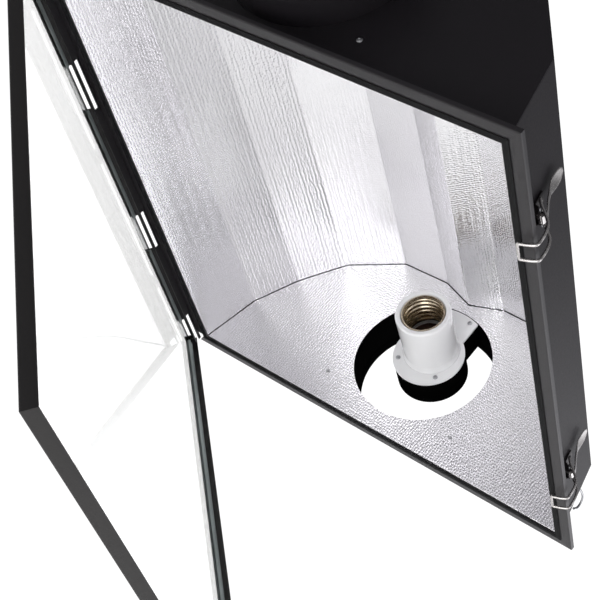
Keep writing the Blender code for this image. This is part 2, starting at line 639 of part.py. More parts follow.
# ---- build --------------------------------------------------------------------------
clear_scene()
PARTS = make_collection("grow_lamp_hood")
CUTTERS = make_collection("cutters")
BLACK = material("black_powder_coat", (0.022, 0.020, 0.023), 0.45)
FOAM = material("black_foam", (0.012, 0.012, 0.013), 0.9)
ALUMINIUM = material("hammered_aluminium", (0.86, 0.86, 0.88), 0.3, 1.0)
PORCELAIN = material("glazed_porcelain", (0.83, 0.84, 0.85), 0.25)
ENAMEL = material("white_enamel", (0.80, 0.81, 0.82), 0.35)
NICKEL = material("bright_nickel", (0.62, 0.60, 0.56), 0.22, 1.0)
BRASS = material("brass", (0.75, 0.58, 0.32), 0.3, 1.0)
STEEL = material("zinc_steel", (0.60, 0.60, 0.62), 0.35, 1.0)
PHENOLIC = material("dark_phenolic", (0.035, 0.022, 0.018), 0.5)
GLASS = material("door_glass", (0.92, 0.95, 0.94), 0.03, 0.0, 0.2)
BEAD = material("grey_silicone", (0.30, 0.32, 0.33), 0.25)
RUBBER = material("black_rubber", (0.02, 0.02, 0.02), 0.8)

HOOD = add_empty("hood_frame", None, (0.0, 0.0, -ROOF_Z))
build_casing()
build_lip()
build_reflector()
build_collars()
build_socket()
build_gland()
build_hinge()
build_door()
for latch_number, latch_x in enumerate(LATCHES_X, 1):
    build_latch(latch_number, latch_x)
build_hangers()
build_rivets()
build_wire_clip()
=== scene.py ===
# %% [markdown]
# # An air-cooled grow lamp hood with its glass door open
#
# This lesson dresses a working model of a grow lamp's reflector hood: a black steel
# casing, a hammered aluminium reflector, a porcelain lamp socket in one of its two round
# duct collars, and a glazed steel door held by two draw latches. The working model gives
# every solid its size and every joint its axis. Here each of those solids gets the form
# that a workshop would give it: folded edges, curled barrels, domed rivets, a real thread.

import math

import bmesh
import bpy
from mathutils import Matrix, Vector


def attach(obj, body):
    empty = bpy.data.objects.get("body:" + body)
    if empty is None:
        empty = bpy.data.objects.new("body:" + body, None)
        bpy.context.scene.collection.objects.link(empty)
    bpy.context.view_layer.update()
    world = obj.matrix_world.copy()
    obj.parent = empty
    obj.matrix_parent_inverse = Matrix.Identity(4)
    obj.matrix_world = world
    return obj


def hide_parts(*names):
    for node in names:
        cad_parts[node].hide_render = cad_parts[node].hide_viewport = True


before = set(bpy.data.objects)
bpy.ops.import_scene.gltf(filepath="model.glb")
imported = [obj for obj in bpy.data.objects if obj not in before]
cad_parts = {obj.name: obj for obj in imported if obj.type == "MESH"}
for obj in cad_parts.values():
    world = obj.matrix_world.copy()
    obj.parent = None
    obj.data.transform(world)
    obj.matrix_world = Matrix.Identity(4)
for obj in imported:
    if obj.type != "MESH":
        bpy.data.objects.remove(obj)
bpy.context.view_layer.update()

# %% [markdown]
# ## Where things are
#
# Sheet metal is drawn in millimetres from the plane it meets, so every shape below is
# written in millimetres above the hood's opening: z = 0 is the face of the seal that the
# door closes on. One matrix turns that into metres and hangs it from the middle of the
# roof, which is the model's origin. A second matrix opens the door about its hinge line,
# so the door can be drawn closed, the way it is made.

# %% Millimetres, and the places of the hood and the door
ROOF = 206.0
HINGE = Vector((0.0, 246.5, 4.0))
DOOR_ANGLE = math.radians(42.24)
MM = 0.001

ON_HOOD = Matrix.Translation((0, 0, -ROOF * MM)) @ Matrix.Scale(MM, 4)
OPENED = Matrix.Translation(HINGE) @ Matrix.Rotation(DOOR_ANGLE, 4, "X") @ Matrix.Translation(-HINGE)
ON_DOOR = ON_HOOD @ OPENED
print("door open by", round(math.degrees(DOOR_ANGLE), 1), "degrees")

# %% [markdown]
# ## The camera
#
# The hood hangs overhead and is seen from below and from one end, with a fairly long
# lens, so its parallel edges hardly converge. The camera is set first, because everything
# after it is judged through it.

# %% Camera
camera_data = bpy.data.cameras.new("view_from_below")
camera_data.lens = 86.65
camera_data.sensor_width = 36.0
camera_data.clip_end = 60.0
camera = bpy.data.objects.new("view_from_below", camera_data)
bpy.context.scene.collection.objects.link(camera)
CAMERA_RIGHT = Vector((0.2030, -0.7590, 0.6190))
CAMERA_BACK = Vector((-0.7683, -0.5146, -0.3806)).normalized()
CAMERA_UP = CAMERA_BACK.cross(CAMERA_RIGHT).normalized()
CAMERA_RIGHT = CAMERA_UP.cross(CAMERA_BACK)
axes = Matrix((CAMERA_RIGHT, CAMERA_UP, CAMERA_BACK)).transposed()
camera.matrix_world = Matrix.Translation((-0.9657, -0.6586, -0.7222)) @ axes.to_4x4()
bpy.context.scene.camera = camera
print("camera up", [round(v, 3) for v in CAMERA_UP])

# %% [markdown]
# ## Colours and nodes
#
# A colour picked on screen is sRGB, and a shader wants linear light, so one function
# turns a hex code into linear numbers. Another adds any node at all: it sets the node's
# own options, then fills each input with a number or links it to another node's output.

# %% Colour and node helpers
def linear(hex_code, alpha=1.0):
    """A hex sRGB colour as linear RGBA."""
    channels = [int(hex_code[i:i + 2], 16) / 255 for i in (1, 3, 5)]
    turned = [c / 12.92 if c <= 0.04045 else ((c + 0.055) / 1.055) ** 2.4 for c in channels]
    return (*turned, alpha)


def add_node(tree, kind, options=None, inputs=None):
    """Add a node, set its options, and fill or link its inputs."""
    node = tree.nodes.new(kind)
    for name, value in (options or {}).items():
        setattr(node, name, value)
    for name, value in (inputs or {}).items():
        if isinstance(value, bpy.types.NodeSocket):
            tree.links.new(value, node.inputs[name])
        else:
            node.inputs[name].default_value = value
    return node


def new_material(name, **sockets):
    """A material with one Principled shader; sockets are its uniform values."""
    made = bpy.data.materials.new(name)
    made.use_nodes = True
    shader = made.node_tree.nodes["Principled BSDF"]
    for socket, value in sockets.items():
        shader.inputs[socket.replace("_", " ")].default_value = value
    return made, made.node_tree, shader


def position(tree):
    """The point on the piece, in metres, in the piece's own space."""
    return add_node(tree, "ShaderNodeTexCoord").outputs["Object"]


print("white in linear light:", linear("#ffffff"))

# %% [markdown]
# ## Black powder coat
#
# The casing and the door are folded steel, dusted with epoxy powder and baked. The film
# flows out into a fine orange peel, about 1.5 mm from crest to crest, so a reflection in
# it is broad and slightly grainy. Its black is a warm purplish grey, and it varies a
# little where the film is thinner. Noise at two sizes gives both: a fine one for the
# peel's bump and roughness, and a slow one for the colour.

# %% Powder coat
def powder_coat(name, dark, light, roughness, shine):
    made, tree, shader = new_material(name, IOR=1.5, Specular_IOR_Level=shine)
    where = position(tree)
    cloud = add_node(tree, "ShaderNodeTexNoise", None, {"Vector": where, "Scale": 9.0, "Detail": 3.0})
    tint = add_node(tree, "ShaderNodeMix", {"data_type": "RGBA"})
    tree.links.new(cloud.outputs["Fac"], tint.inputs["Factor"])
    tint.inputs["A"].default_value = linear(dark)
    tint.inputs["B"].default_value = linear(light)
    tree.links.new(tint.outputs["Result"], shader.inputs["Base Color"])
    peel = add_node(tree, "ShaderNodeTexNoise", None, {"Vector": where, "Scale": 700.0, "Detail": 2.0})
    gloss = add_node(tree, "ShaderNodeMapRange", None,
                     {"Value": peel.outputs["Fac"], "To Min": roughness - 0.07, "To Max": roughness + 0.09})
    tree.links.new(gloss.outputs["Result"], shader.inputs["Roughness"])
    bump = add_node(tree, "ShaderNodeBump", None,
                    {"Height": peel.outputs["Fac"], "Strength": 0.35, "Distance": 0.00012})
    tree.links.new(bump.outputs["Normal"], shader.inputs["Normal"])
    return made


casing_coat = powder_coat("black_powder_coat", "#151316", "#1e1b1f", 0.42, 0.27)
# The lip is a little glossier, and its coat is a little lighter than the casing's: painted light.
# The coat inside the ducts and on the wiring box is near black and matt: painted shade.
lip_coat_painted_light = powder_coat("black_powder_coat_lip_painted_light", "#191719", "#221f23", 0.40, 0.5)
door_coat = powder_coat("black_powder_coat_door", "#151313", "#1e1b1b", 0.38, 0.36)
duct_coat_painted_shade = powder_coat("black_powder_coat_in_ducts_painted_shade", "#050505", "#090909", 0.8, 0.0)
print("powder coats:", casing_coat.name, door_coat.name)

# %% [markdown]
# ## Hammered aluminium
#
# The reflector is bright rolled aluminium, embossed between patterned rollers with small
# dimples packed about 2.8 mm apart, so that it throws light back evenly and no hot spot
# burns the plants. Voronoi cells of that size are the dimples. Each one mirrors a
# whole arc of the room, which is why the sheet sparkles with dark and bright specks where
# it faces an edge of the casing, and looks plain white where it faces the open room.

# %% Hammered aluminium
def hammered_aluminium(name, depth):
    made, tree, shader = new_material(name, Metallic=1.0)
    where = position(tree)
    dimples = add_node(tree, "ShaderNodeTexVoronoi", None,
                       {"Vector": where, "Scale": 1 / 0.0028, "Randomness": 0.45})
    smear = add_node(tree, "ShaderNodeTexNoise", None, {"Vector": where, "Scale": 14.0, "Detail": 4.0})
    tint = add_node(tree, "ShaderNodeMix", {"data_type": "RGBA"})
    tree.links.new(smear.outputs["Fac"], tint.inputs["Factor"])
    tint.inputs["A"].default_value = linear("#f2f0f4")
    tint.inputs["B"].default_value = linear("#fcfcfd")
    tree.links.new(tint.outputs["Result"], shader.inputs["Base Color"])
    polish = add_node(tree, "ShaderNodeMapRange", None,
                      {"Value": smear.outputs["Fac"], "To Min": 0.16, "To Max": 0.26})
    tree.links.new(polish.outputs["Result"], shader.inputs["Roughness"])
    bump = add_node(tree, "ShaderNodeBump", None,
                    {"Height": dimples.outputs["Distance"], "Strength": 1.0, "Distance": depth})
    tree.links.new(bump.outputs["Normal"], shader.inputs["Normal"])
    return made


reflector_metal = hammered_aluminium("hammered_aluminium", 0.00045)
print("dimples every 2.8 mm:", reflector_metal.name)

# %% [markdown]
# ## Glazed porcelain and white enamel
#
# A screw socket for a hot lamp is porcelain, glazed for strength. Its body is a hard
# near-white, and the glaze pools slightly, so reflections are sharp but not flat. The
# plate it stands on is steel with a white stove enamel, a little less glossy.

# %% Porcelain and enamel
def white_ware(name, pale, shade, roughness, coat):
    made, tree, shader = new_material(name, IOR=1.5, Roughness=roughness, Coat_Weight=coat, Coat_Roughness=0.06)
    where = position(tree)
    cloud = add_node(tree, "ShaderNodeTexNoise", None, {"Vector": where, "Scale": 45.0, "Detail": 3.0})
    tint = add_node(tree, "ShaderNodeMix", {"data_type": "RGBA"})
    tree.links.new(cloud.outputs["Fac"], tint.inputs["Factor"])
    tint.inputs["A"].default_value = linear(shade)
    tint.inputs["B"].default_value = linear(pale)
    tree.links.new(tint.outputs["Result"], shader.inputs["Base Color"])
    ripple = add_node(tree, "ShaderNodeTexNoise", None, {"Vector": where, "Scale": 160.0, "Detail": 1.0})
    bump = add_node(tree, "ShaderNodeBump", None,
                    {"Height": ripple.outputs["Fac"], "Strength": 0.25, "Distance": 0.0001})
    tree.links.new(bump.outputs["Normal"], shader.inputs["Normal"])
    return made


porcelain = white_ware("glazed_porcelain", "#fafafb", "#f3f3f5", 0.20, 0.5)
enamel = white_ware("white_stove_enamel", "#fafafa", "#f2f2f4", 0.30, 0.2)
print("white ware:", porcelain.name, enamel.name)

# %% [markdown]
# ## Bright metals
#
# Latches are nickel plated and tumbled, so they are bright with a faint random haze. The
# thread shell in the socket is nickel over brass, warmer and browner. Rivets, screws and
# the hinge rod are zinc plated, duller and greyer, with the crystal bloom of plating.
# All three are one recipe: a metal whose roughness and tint follow a small noise.

# %% Nickel, brass and zinc
def plated_metal(name, pale, shade, smooth, rough, grain_mm):
    made, tree, shader = new_material(name, Metallic=1.0)
    where = position(tree)
    bloom = add_node(tree, "ShaderNodeTexNoise", None,
                     {"Vector": where, "Scale": 1000.0 / grain_mm, "Detail": 4.0, "Roughness": 0.6})
    tint = add_node(tree, "ShaderNodeMix", {"data_type": "RGBA"})
    tree.links.new(bloom.outputs["Fac"], tint.inputs["Factor"])
    tint.inputs["A"].default_value = linear(shade)
    tint.inputs["B"].default_value = linear(pale)
    tree.links.new(tint.outputs["Result"], shader.inputs["Base Color"])
    haze = add_node(tree, "ShaderNodeMapRange", None,
                    {"Value": bloom.outputs["Fac"], "From Min": 0.3, "From Max": 0.7,
                     "To Min": smooth, "To Max": rough})
    tree.links.new(haze.outputs["Result"], shader.inputs["Roughness"])
    bump = add_node(tree, "ShaderNodeBump", None,
                    {"Height": bloom.outputs["Fac"], "Strength": 0.2, "Distance": 0.00004})
    tree.links.new(bump.outputs["Normal"], shader.inputs["Normal"])
    return made


latch_nickel = plated_metal("tumbled_nickel", "#dedbd9", "#bdb9b7", 0.18, 0.34, 2.5)
shell_nickel = plated_metal("nickel_over_brass", "#d2c7b4", "#8a7a64", 0.10, 0.22, 6.0)
contact_brass = plated_metal("contact_brass", "#e8cf9a", "#c8a86a", 0.18, 0.30, 4.0)
# The latch bases carry the same plating, made much darker: painted shade for the shadow they sit in.
latch_base_painted_shade = plated_metal("latch_plating_painted_shade", "#5d5959", "#3a3737", 0.30, 0.45, 2.5)
zinc = plated_metal("zinc_plated_steel", "#c4c4c6", "#9fa0a3", 0.28, 0.45, 3.0)
print("metals:", [m.name for m in (latch_nickel, shell_nickel, contact_brass, zinc)])

# %% [markdown]
# ## Rubber, foam and moulded plastic
#
# The door's pane is bedded in a strip of dark silicone, glossy and slightly green, whose colour is
# made a pale grey here: painted sheen for its shine. The hood's lip carries a strip of black foam, which reflects
# almost nothing.
# The lead's gland is moulded rubber, and the insulators in the socket are brown phenolic.

# %% Soft and moulded finishes
def moulded(name, pale, shade, roughness, grain_mm, height_mm, specular=0.5):
    made, tree, shader = new_material(name, IOR=1.5, Specular_IOR_Level=specular)
    where = position(tree)
    grain = add_node(tree, "ShaderNodeTexNoise", None,
                     {"Vector": where, "Scale": 1000.0 / grain_mm, "Detail": 3.0, "Roughness": 0.55})
    tint = add_node(tree, "ShaderNodeMix", {"data_type": "RGBA"})
    tree.links.new(grain.outputs["Fac"], tint.inputs["Factor"])
    tint.inputs["A"].default_value = linear(shade)
    tint.inputs["B"].default_value = linear(pale)
    tree.links.new(tint.outputs["Result"], shader.inputs["Base Color"])
    feel = add_node(tree, "ShaderNodeMapRange", None,
                    {"Value": grain.outputs["Fac"], "To Min": roughness * 0.8, "To Max": min(1.0, roughness * 1.25)})
    tree.links.new(feel.outputs["Result"], shader.inputs["Roughness"])
    bump = add_node(tree, "ShaderNodeBump", None,
                    {"Height": grain.outputs["Fac"], "Strength": 0.5, "Distance": height_mm * MM})
    tree.links.new(bump.outputs["Normal"], shader.inputs["Normal"])
    return made


# Pale grey rather than the silicone's dark colour: painted sheen for the strip's shine.
silicone_painted_sheen = moulded("glazing_silicone_painted_sheen", "#a3aaa9", "#788180", 0.22, 30.0, 0.25, 0.7)
foam = moulded("closed_cell_foam", "#1d1d1e", "#131314", 0.9, 1.2, 0.2, 0.2)
rubber = moulded("gland_rubber", "#232324", "#171718", 0.7, 2.0, 0.05)
phenolic = moulded("brown_phenolic", "#4a2f26", "#33201b", 0.35, 3.0, 0.03)
print("moulded:", [m.name for m in (silicone_painted_sheen, foam, rubber, phenolic)])

# %% [markdown]
# ## Tempered glass
#
# The pane is 3 mm float glass, tempered to stand the lamp's heat. Face on it is nearly
# colourless. Its iron shows only along the ground edge, where light has travelled a long
# way through it, so the edge has its own pale green finish on the same block of glass.

# %% Glass
def glass(name, hex_code, roughness):
    made, tree, shader = new_material(name, IOR=1.5, Transmission_Weight=1.0, Metallic=0.0)
    where = position(tree)
    film = add_node(tree, "ShaderNodeTexNoise", None, {"Vector": where, "Scale": 6.0, "Detail": 3.0})
    haze = add_node(tree, "ShaderNodeMapRange", None,
                    {"Value": film.outputs["Fac"], "To Min": roughness, "To Max": roughness + 0.015})
    tree.links.new(haze.outputs["Result"], shader.inputs["Roughness"])
    shader.inputs["Base Color"].default_value = linear(hex_code)
    return made


pane_glass = glass("tempered_glass", "#ffffff", 0.0)
edge_glass = glass("ground_glass_edge", "#d3e6de", 0.35)
print("glass:", pane_glass.name, edge_glass.name)

# %% [markdown]
# ## Folding sheet metal
#
# A brake folds sheet along straight lines, with a small radius at each fold. So a folded
# piece is one line drawn across it, rounded at its corners, given the sheet's thickness
# on one side, and drawn out along the fold. Three functions do that: one rounds a line,
# one draws the line's parallel at the sheet's thickness, and one pulls the outline out.

# %% Sheet metal helpers
def filleted(path, radius, steps=5):
    """A line with its inner corners rounded."""
    rounded = [tuple(path[0])]
    for before, corner, after in zip(path, path[1:], path[2:]):
        before, corner, after = Vector(before), Vector(corner), Vector(after)
        back, ahead = (before - corner).normalized(), (after - corner).normalized()
        reach = radius / math.tan(max(0.05, back.angle(ahead) / 2))
        reach = min(reach, 0.48 * (before - corner).length, 0.48 * (after - corner).length)
        for i in range(steps + 1):
            t = i / steps
            point = (corner + back * reach) * (1 - t) ** 2 + corner * 2 * t * (1 - t)
            rounded.append(tuple(point + (corner + ahead * reach) * t * t))
    rounded.append(tuple(path[-1]))
    return rounded


def parallel(path, distance):
    """The line's parallel, on its left when distance is positive."""
    shifted = []
    for i, point in enumerate(path):
        sides = []
        for a, b in ((i - 1, i), (i, i + 1)):
            if a >= 0 and b < len(path):
                step = (Vector(path[b]) - Vector(path[a])).normalized()
                sides.append(Vector((-step.y, step.x)))
        normal = sum(sides, Vector((0, 0))).normalized()
        shifted.append(tuple(Vector(point) + normal * distance / max(0.3, normal.dot(sides[0]))))
    return shifted


def sheet_section(path, thickness):
    """Closed outline of a sheet whose face is the path and whose thickness is on its left."""
    return path + parallel(path, thickness)[::-1]


def mesh_of(verts, faces):
    """A mesh with all its faces pointing out."""
    mesh = bpy.data.meshes.new("piece")
    mesh.from_pydata(verts, [], faces)
    bm = bmesh.new()
    bm.from_mesh(mesh)
    bmesh.ops.remove_doubles(bm, verts=bm.verts, dist=1e-4)
    bmesh.ops.recalc_face_normals(bm, faces=bm.faces)
    bm.to_mesh(mesh)
    bm.free()
    return mesh


def drawn_out(section, starts, ends):
    """A bar between two copies of a closed outline; starts and ends give its corners."""
    count = len(section)
    sides = [(i, (i + 1) % count, count + (i + 1) % count, count + i) for i in range(count)]
    caps = [tuple(range(count)), tuple(range(2 * count - 1, count - 1, -1))]
    return mesh_of(starts + ends, sides + caps)


def along_x(section, start, end):
    """A (y, z) outline drawn out along X."""
    return drawn_out(section, [(start, y, z) for y, z in section], [(end, y, z) for y, z in section])


def rail(section, side, half_x, low_y, high_y, gap=0.08):
    """One side of a rectangular frame, with mitred ends. The section is (outward, z)."""
    starts, ends = [], []
    for out, z in section:
        x, low, high = half_x + out, low_y - out, high_y + out
        corners = {"free": ((-x + gap, low), (x - gap, low)), "hinge": ((x - gap, high), (-x + gap, high)),
                   "near": ((-x, high - gap), (-x, low + gap)), "far": ((x, low + gap), (x, high - gap))}[side]
        starts.append((*corners[0], z))
        ends.append((*corners[1], z))
    return drawn_out(section, starts, ends)


print("a 90 degree fold of 1.5 mm:", len(filleted([(0, 0), (10, 0), (10, 10)], 1.5)), "points")

# %% [markdown]
# ## Turning, wires and plates
#
# Collars, sockets, rivets and rods are round, so each is half an outline turned about a
# line. A bent wire is a curve with a thickness. A flat stamping is a filled outline with
# a thickness, and its holes are outlines inside the first. The last helpers run Blender's
# own modifiers on a mesh and keep the result: Bevel for broken edges, Boolean for cuts.

# %% Round, wire and plate helpers
def turned(profile, centre, steps=48):
    """Turn (x, radius) points about the line along X through centre (y, z)."""
    verts, faces, rings = [], [], []
    for x, radius in profile:
        if radius < 1e-6:
            rings.append([len(verts)] * steps)
            verts.append((x, centre[0], centre[1]))
            continue
        rings.append(list(range(len(verts), len(verts) + steps)))
        for i in range(steps):
            a = 2 * math.pi * i / steps
            verts.append((x, centre[0] + radius * math.cos(a), centre[1] + radius * math.sin(a)))
    closed = profile[0][1] > 1e-6
    pairs = list(zip(rings, rings[1:])) + ([(rings[-1], rings[0])] if closed else [])
    for a, b in pairs:
        for i in range(steps):
            j = (i + 1) % steps
            corners = list(dict.fromkeys((a[i], a[j], b[j], b[i])))
            if len(corners) > 2:
                faces.append(corners)
    return mesh_of(verts, faces)


def curve_to_mesh(curve):
    """The mesh of a curve object's data."""
    holder = bpy.data.objects.new("curve", curve)
    bpy.context.scene.collection.objects.link(holder)
    bpy.context.view_layer.update()
    mesh = bpy.data.meshes.new_from_object(holder.evaluated_get(bpy.context.evaluated_depsgraph_get()))
    bpy.data.objects.remove(holder)
    bpy.data.curves.remove(curve)
    bm = bmesh.new()
    bm.from_mesh(mesh)
    bmesh.ops.remove_doubles(bm, verts=bm.verts, dist=1e-4)
    bmesh.ops.recalc_face_normals(bm, faces=bm.faces)
    bm.to_mesh(mesh)
    bm.free()
    return mesh


def through(points, steps=6):
    """A smooth line through the points."""
    points = [Vector(p) for p in points]
    padded = [2 * points[0] - points[1]] + points + [2 * points[-1] - points[-2]]
    path = []
    for a, b, c, d in zip(padded, padded[1:], padded[2:], padded[3:]):
        for i in range(steps):
            t = i / steps
            path.append(0.5 * ((2 * b) + (c - a) * t + (2 * a - 5 * b + 4 * c - d) * t * t
                               + (3 * b - a - 3 * c + d) * t ** 3))
    return path + [points[-1]]


def wire(path, radius, sides=3):
    """A round wire along the path."""
    curve = bpy.data.curves.new("wire", "CURVE")
    curve.dimensions = "3D"
    curve.bevel_depth = radius
    curve.bevel_resolution = sides
    curve.use_fill_caps = True
    spline = curve.splines.new("POLY")
    spline.points.add(len(path) - 1)
    for point, place in zip(spline.points, path):
        point.co = (*place, 1)
    return curve_to_mesh(curve)


CROSSWISE = Matrix(((0, 0, 1, 0), (1, 0, 0, 0), (0, 1, 0, 0), (0, 0, 0, 1)))
UPRIGHT = Matrix(((1, 0, 0, 0), (0, 0, 1, 0), (0, 1, 0, 0), (0, 0, 0, 1)))


def plate(outlines, low, high, place=CROSSWISE):
    """A stamping between two planes. CROSSWISE draws it in (y, z) and UPRIGHT in (x, z)."""
    curve = bpy.data.curves.new("plate", "CURVE")
    curve.dimensions = "2D"
    curve.fill_mode = "BOTH"
    curve.extrude = (high - low) / 2
    for outline in outlines:
        spline = curve.splines.new("POLY")
        spline.points.add(len(outline) - 1)
        for point, (a, b) in zip(spline.points, outline):
            point.co = (a, b, 0, 1)
        spline.use_cyclic_u = True
    mesh = curve_to_mesh(curve)
    mesh.transform(place @ Matrix.Translation((0, 0, (high + low) / 2)))
    if place.determinant() < 0:
        mesh.flip_normals()
    return mesh


def circle(radius, centre=(0.0, 0.0), steps=96):
    return [(centre[0] + radius * math.cos(2 * math.pi * i / steps),
             centre[1] + radius * math.sin(2 * math.pi * i / steps)) for i in range(steps)]


def box(low, high):
    """A block between two corners."""
    (x0, y0, z0), (x1, y1, z1) = low, high
    verts = [(x, y, z) for z in (z0, z1) for x, y in ((x0, y0), (x1, y0), (x1, y1), (x0, y1))]
    return mesh_of(verts, [(0, 3, 2, 1), (4, 5, 6, 7), (0, 1, 5, 4), (1, 2, 6, 5), (2, 3, 7, 6), (3, 0, 4, 7)])


def with_modifiers(mesh, *steps):
    """The mesh after each (type, settings) modifier."""
    holder = bpy.data.objects.new("bench", mesh)
    bpy.context.scene.collection.objects.link(holder)
    for kind, settings in steps:
        step = holder.modifiers.new(kind, kind)
        for name, value in settings.items():
            setattr(step, name, value)
    bpy.context.view_layer.update()
    made = bpy.data.meshes.new_from_object(holder.evaluated_get(bpy.context.evaluated_depsgraph_get()))
    bpy.data.objects.remove(holder)
    return made


def eased(mesh, width, segments=2, angle=40):
    """The mesh with its sharp edges broken."""
    return with_modifiers(mesh, ("BEVEL", {"width": width, "segments": segments, "limit_method": "ANGLE",
                                           "angle_limit": math.radians(angle)}))


def cut(mesh, *tools):
    """The mesh with other meshes cut from it."""
    for tool in tools:
        blade = bpy.data.objects.new("blade", tool)
        bpy.context.scene.collection.objects.link(blade)
        mesh = with_modifiers(mesh, ("BOOLEAN", {"operation": "DIFFERENCE", "object": blade, "solver": "EXACT"}))
        bpy.data.objects.remove(blade)
    return mesh


def together(*meshes):
    """Several meshes as one."""
    bm = bmesh.new()
    for mesh in meshes:
        bm.from_mesh(mesh)
    joined = bpy.data.meshes.new("piece")
    bm.to_mesh(joined)
    bm.free()
    return joined


def moved(mesh, matrix):
    """A copy of the mesh, moved."""
    copy = mesh.copy()
    copy.transform(matrix)
    return copy


print("helpers ready")

# %% [markdown]
# ## Putting a piece in place
#
# A finished mesh is scaled to metres and put where it belongs, shaded smooth across its
# rounded folds and sharp across its corners, and tied to the body that carries it. It
# then stands for the plain solids of the working model, which stay for collision only.

# %% Finishing a piece
def finish_piece(name, mesh, finish, body="hood_body", place=ON_HOOD, stands_for=(), angle=38):
    mesh.transform(place)
    mesh.materials.clear()
    mesh.materials.append(finish)
    mesh.shade_smooth()
    mesh.set_sharp_from_angle(angle=math.radians(angle))
    piece = bpy.data.objects.new(name, mesh)
    bpy.context.scene.collection.objects.link(piece)
    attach(piece, body)
    if stands_for:
        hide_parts(*stands_for)
    size = [round(1000 * d, 1) for d in piece.dimensions]
    print(f"{name}: {len(mesh.polygons)} faces, {size} mm")
    return piece


# %% [markdown]
# ## The casing
#
# One sheet of 1.2 mm steel makes the roof, both shoulders and both side walls. It is the
# longest fold of the hood, so it is one outline drawn out along X. The walls lean in by
# 11 degrees, and the folds have a 3 mm radius that catches a thin line of light.

# %% Casing shell
WALL_FOOT, WALL_SLOPE = 231.1, 0.2
casing_half = [(WALL_FOOT - WALL_SLOPE * 3.0, 3.0), (214.3, 84.0), (122.6, 206.0)]
casing_line = casing_half + [(-y, z) for y, z in reversed(casing_half)]
casing_section = sheet_section(filleted(casing_line, 3.0), 1.2)
finish_piece("casing_shell", along_x(casing_section, -268.1, 268.1), casing_coat,
             stands_for=["housing_shell"])

# %% [markdown]
# The two end walls are flat stampings with a hole for the duct collar. A stamping has one
# rolled edge and one sheared edge, so its outline is broken by a small bevel.

# %% End walls
DUCT = (0.0, 98.0)
for side, name in ((-1, "near"), (1, "far")):
    low, high = sorted((side * 268.4, side * 269.4))
    wall = plate([filleted(casing_line + casing_line[:1], 1.5)[:-1], circle(76.6, DUCT)], low, high)
    finish_piece(f"end_wall_{name}", eased(wall, 0.25, 1), casing_coat,
                 stands_for=[f"{name}_end_wall"])

# %% [markdown]
# ## The lip
#
# Round the opening the steel turns out into a flange, and on three sides its edge is
# hemmed upwards, which stiffens it and gives the latches' bails something to hook under.
# Each side is its own rail with mitred ends, because that is how the corners are cut. On
# the hinge side the flange turns down instead, and windows are punched in it.

# %% Lip rails
hem_line = filleted([(0.0, 1.5), (16.5, 1.5), (16.5, 6.0)], 1.4)
hem_section = sheet_section(hem_line, 1.2)
hem_rails = []
for side in ("near", "free", "far"):
    bar = rail(hem_section, side, 268.0, -227.0, 226.6)
    hem_rails.append(eased(bar, 0.15, 1, 60))
hinge_strip = box((-267.9, 226.7, 1.5), (267.9, 243.0, 2.7))
print("hemmed rails:", len(hem_rails), "section of", len(hem_section), "points")

# %% [markdown]
# The down-turned flange is drawn flat as a stamping, windows and all, and so are the six
# small lugs that hold the hinge rod. A lug's outline is a tail that runs under the lip
# and an eye that goes most of the way round the rod.

# %% Down-turned flange with its punched windows, and the hinge lugs
def punched_flange():
    """Outline of the down-turned flange in (x, z), with open windows at its ends."""
    return [(-262.0, -0.4), (-262.0, -4.4), (-280.5, -4.4), (-280.5, -5.6), (280.5, -5.6), (280.5, -4.4),
            (233.0, -4.4), (233.0, -0.4), (280.5, -0.4), (280.5, 2.6), (-280.5, 2.6), (-280.5, -0.4)]


windows = [[(a, -4.4), (b, -4.4), (b, -0.4), (a, -0.4)] for a, b in ((-146.0, -84.5), (61.0, 116.0))]
flange = eased(plate([punched_flange(), *windows], 241.9, 243.1, UPRIGHT), 0.2, 1)


def about_hinge(points):
    """Points drawn about the hinge line, as (y, z) on the hood."""
    return [(HINGE.y + y, HINGE.z + z) for y, z in points]


def arc(radius, start, end, steps=14):
    angles = [math.radians(start + (end - start) * i / steps) for i in range(steps + 1)]
    return [(radius * math.cos(a), radius * math.sin(a)) for a in angles]


lug_outline = [(-8.5, -1.4), (-3.8, -1.4), (-3.8, -1.0)] + arc(2.6, 202.6, 535.6) + [(-8.5, 0.2)]
KNUCKLES = (-215.0, -20.0, 175.0)
lugs = []
for middle in [x + side * 13.5 for x in KNUCKLES for side in (-1, 1)]:
    eye = plate([about_hinge(lug_outline), circle(1.6, (HINGE.y, HINGE.z), 24)], middle - 3, middle + 3)
    lugs.append(eased(eye, 0.15, 1, 50))
# The lip's coat is a little lighter than the casing's: painted light.
finish_piece("lip_and_hinge_flange", together(*hem_rails, hinge_strip, flange, *lugs), lip_coat_painted_light,
             stands_for=["lip_frame"])

# %% [markdown]
# A strip of closed-cell foam is glued round the opening. Door and hood squeeze it when
# the latches close, so it is a soft bead with a crowned face, and it is matt black.

# %% Foam seal
seal_line = [(0.0, 1.15), (0.0, 0.7), (1.2, 0.15), (3.0, 0.0), (4.8, 0.15), (6.0, 0.7), (6.0, 1.15)]
seal_rails = [rail(seal_line, side, 268.0, -227.0, 227.0, 0.0) for side in ("near", "free", "far", "hinge")]
finish_piece("foam_seal", together(*seal_rails), foam, stands_for=["lip_gasket"])

# %% [markdown]
# ## The reflector
#
# The reflector is a second folded sheet inside the casing, 0.8 mm aluminium with five
# folds a side, so that its facets throw the lamp's light straight down. Rolled sheet
# folds with a softer radius than steel. Flat panels close its ends, with a clear gap all
# round, and that gap shows as the thin dark line where panel and sheet meet.

# %% Folded reflector
reflector_half = [(227.0, 3.0), (212.0, 67.0), (186.0, 115.0), (151.0, 161.0), (94.0, 195.0), (37.0, 196.0)]
reflector_line = reflector_half + [(0.0, 183.2)] + [(-y, z) for y, z in reversed(reflector_half)]
reflector_section = sheet_section(filleted(reflector_line, 5.0, 4), -0.8)
finish_piece("reflector_sheet", along_x(reflector_section, -268.0, 268.0), reflector_metal,
             stands_for=["reflector_hood"])

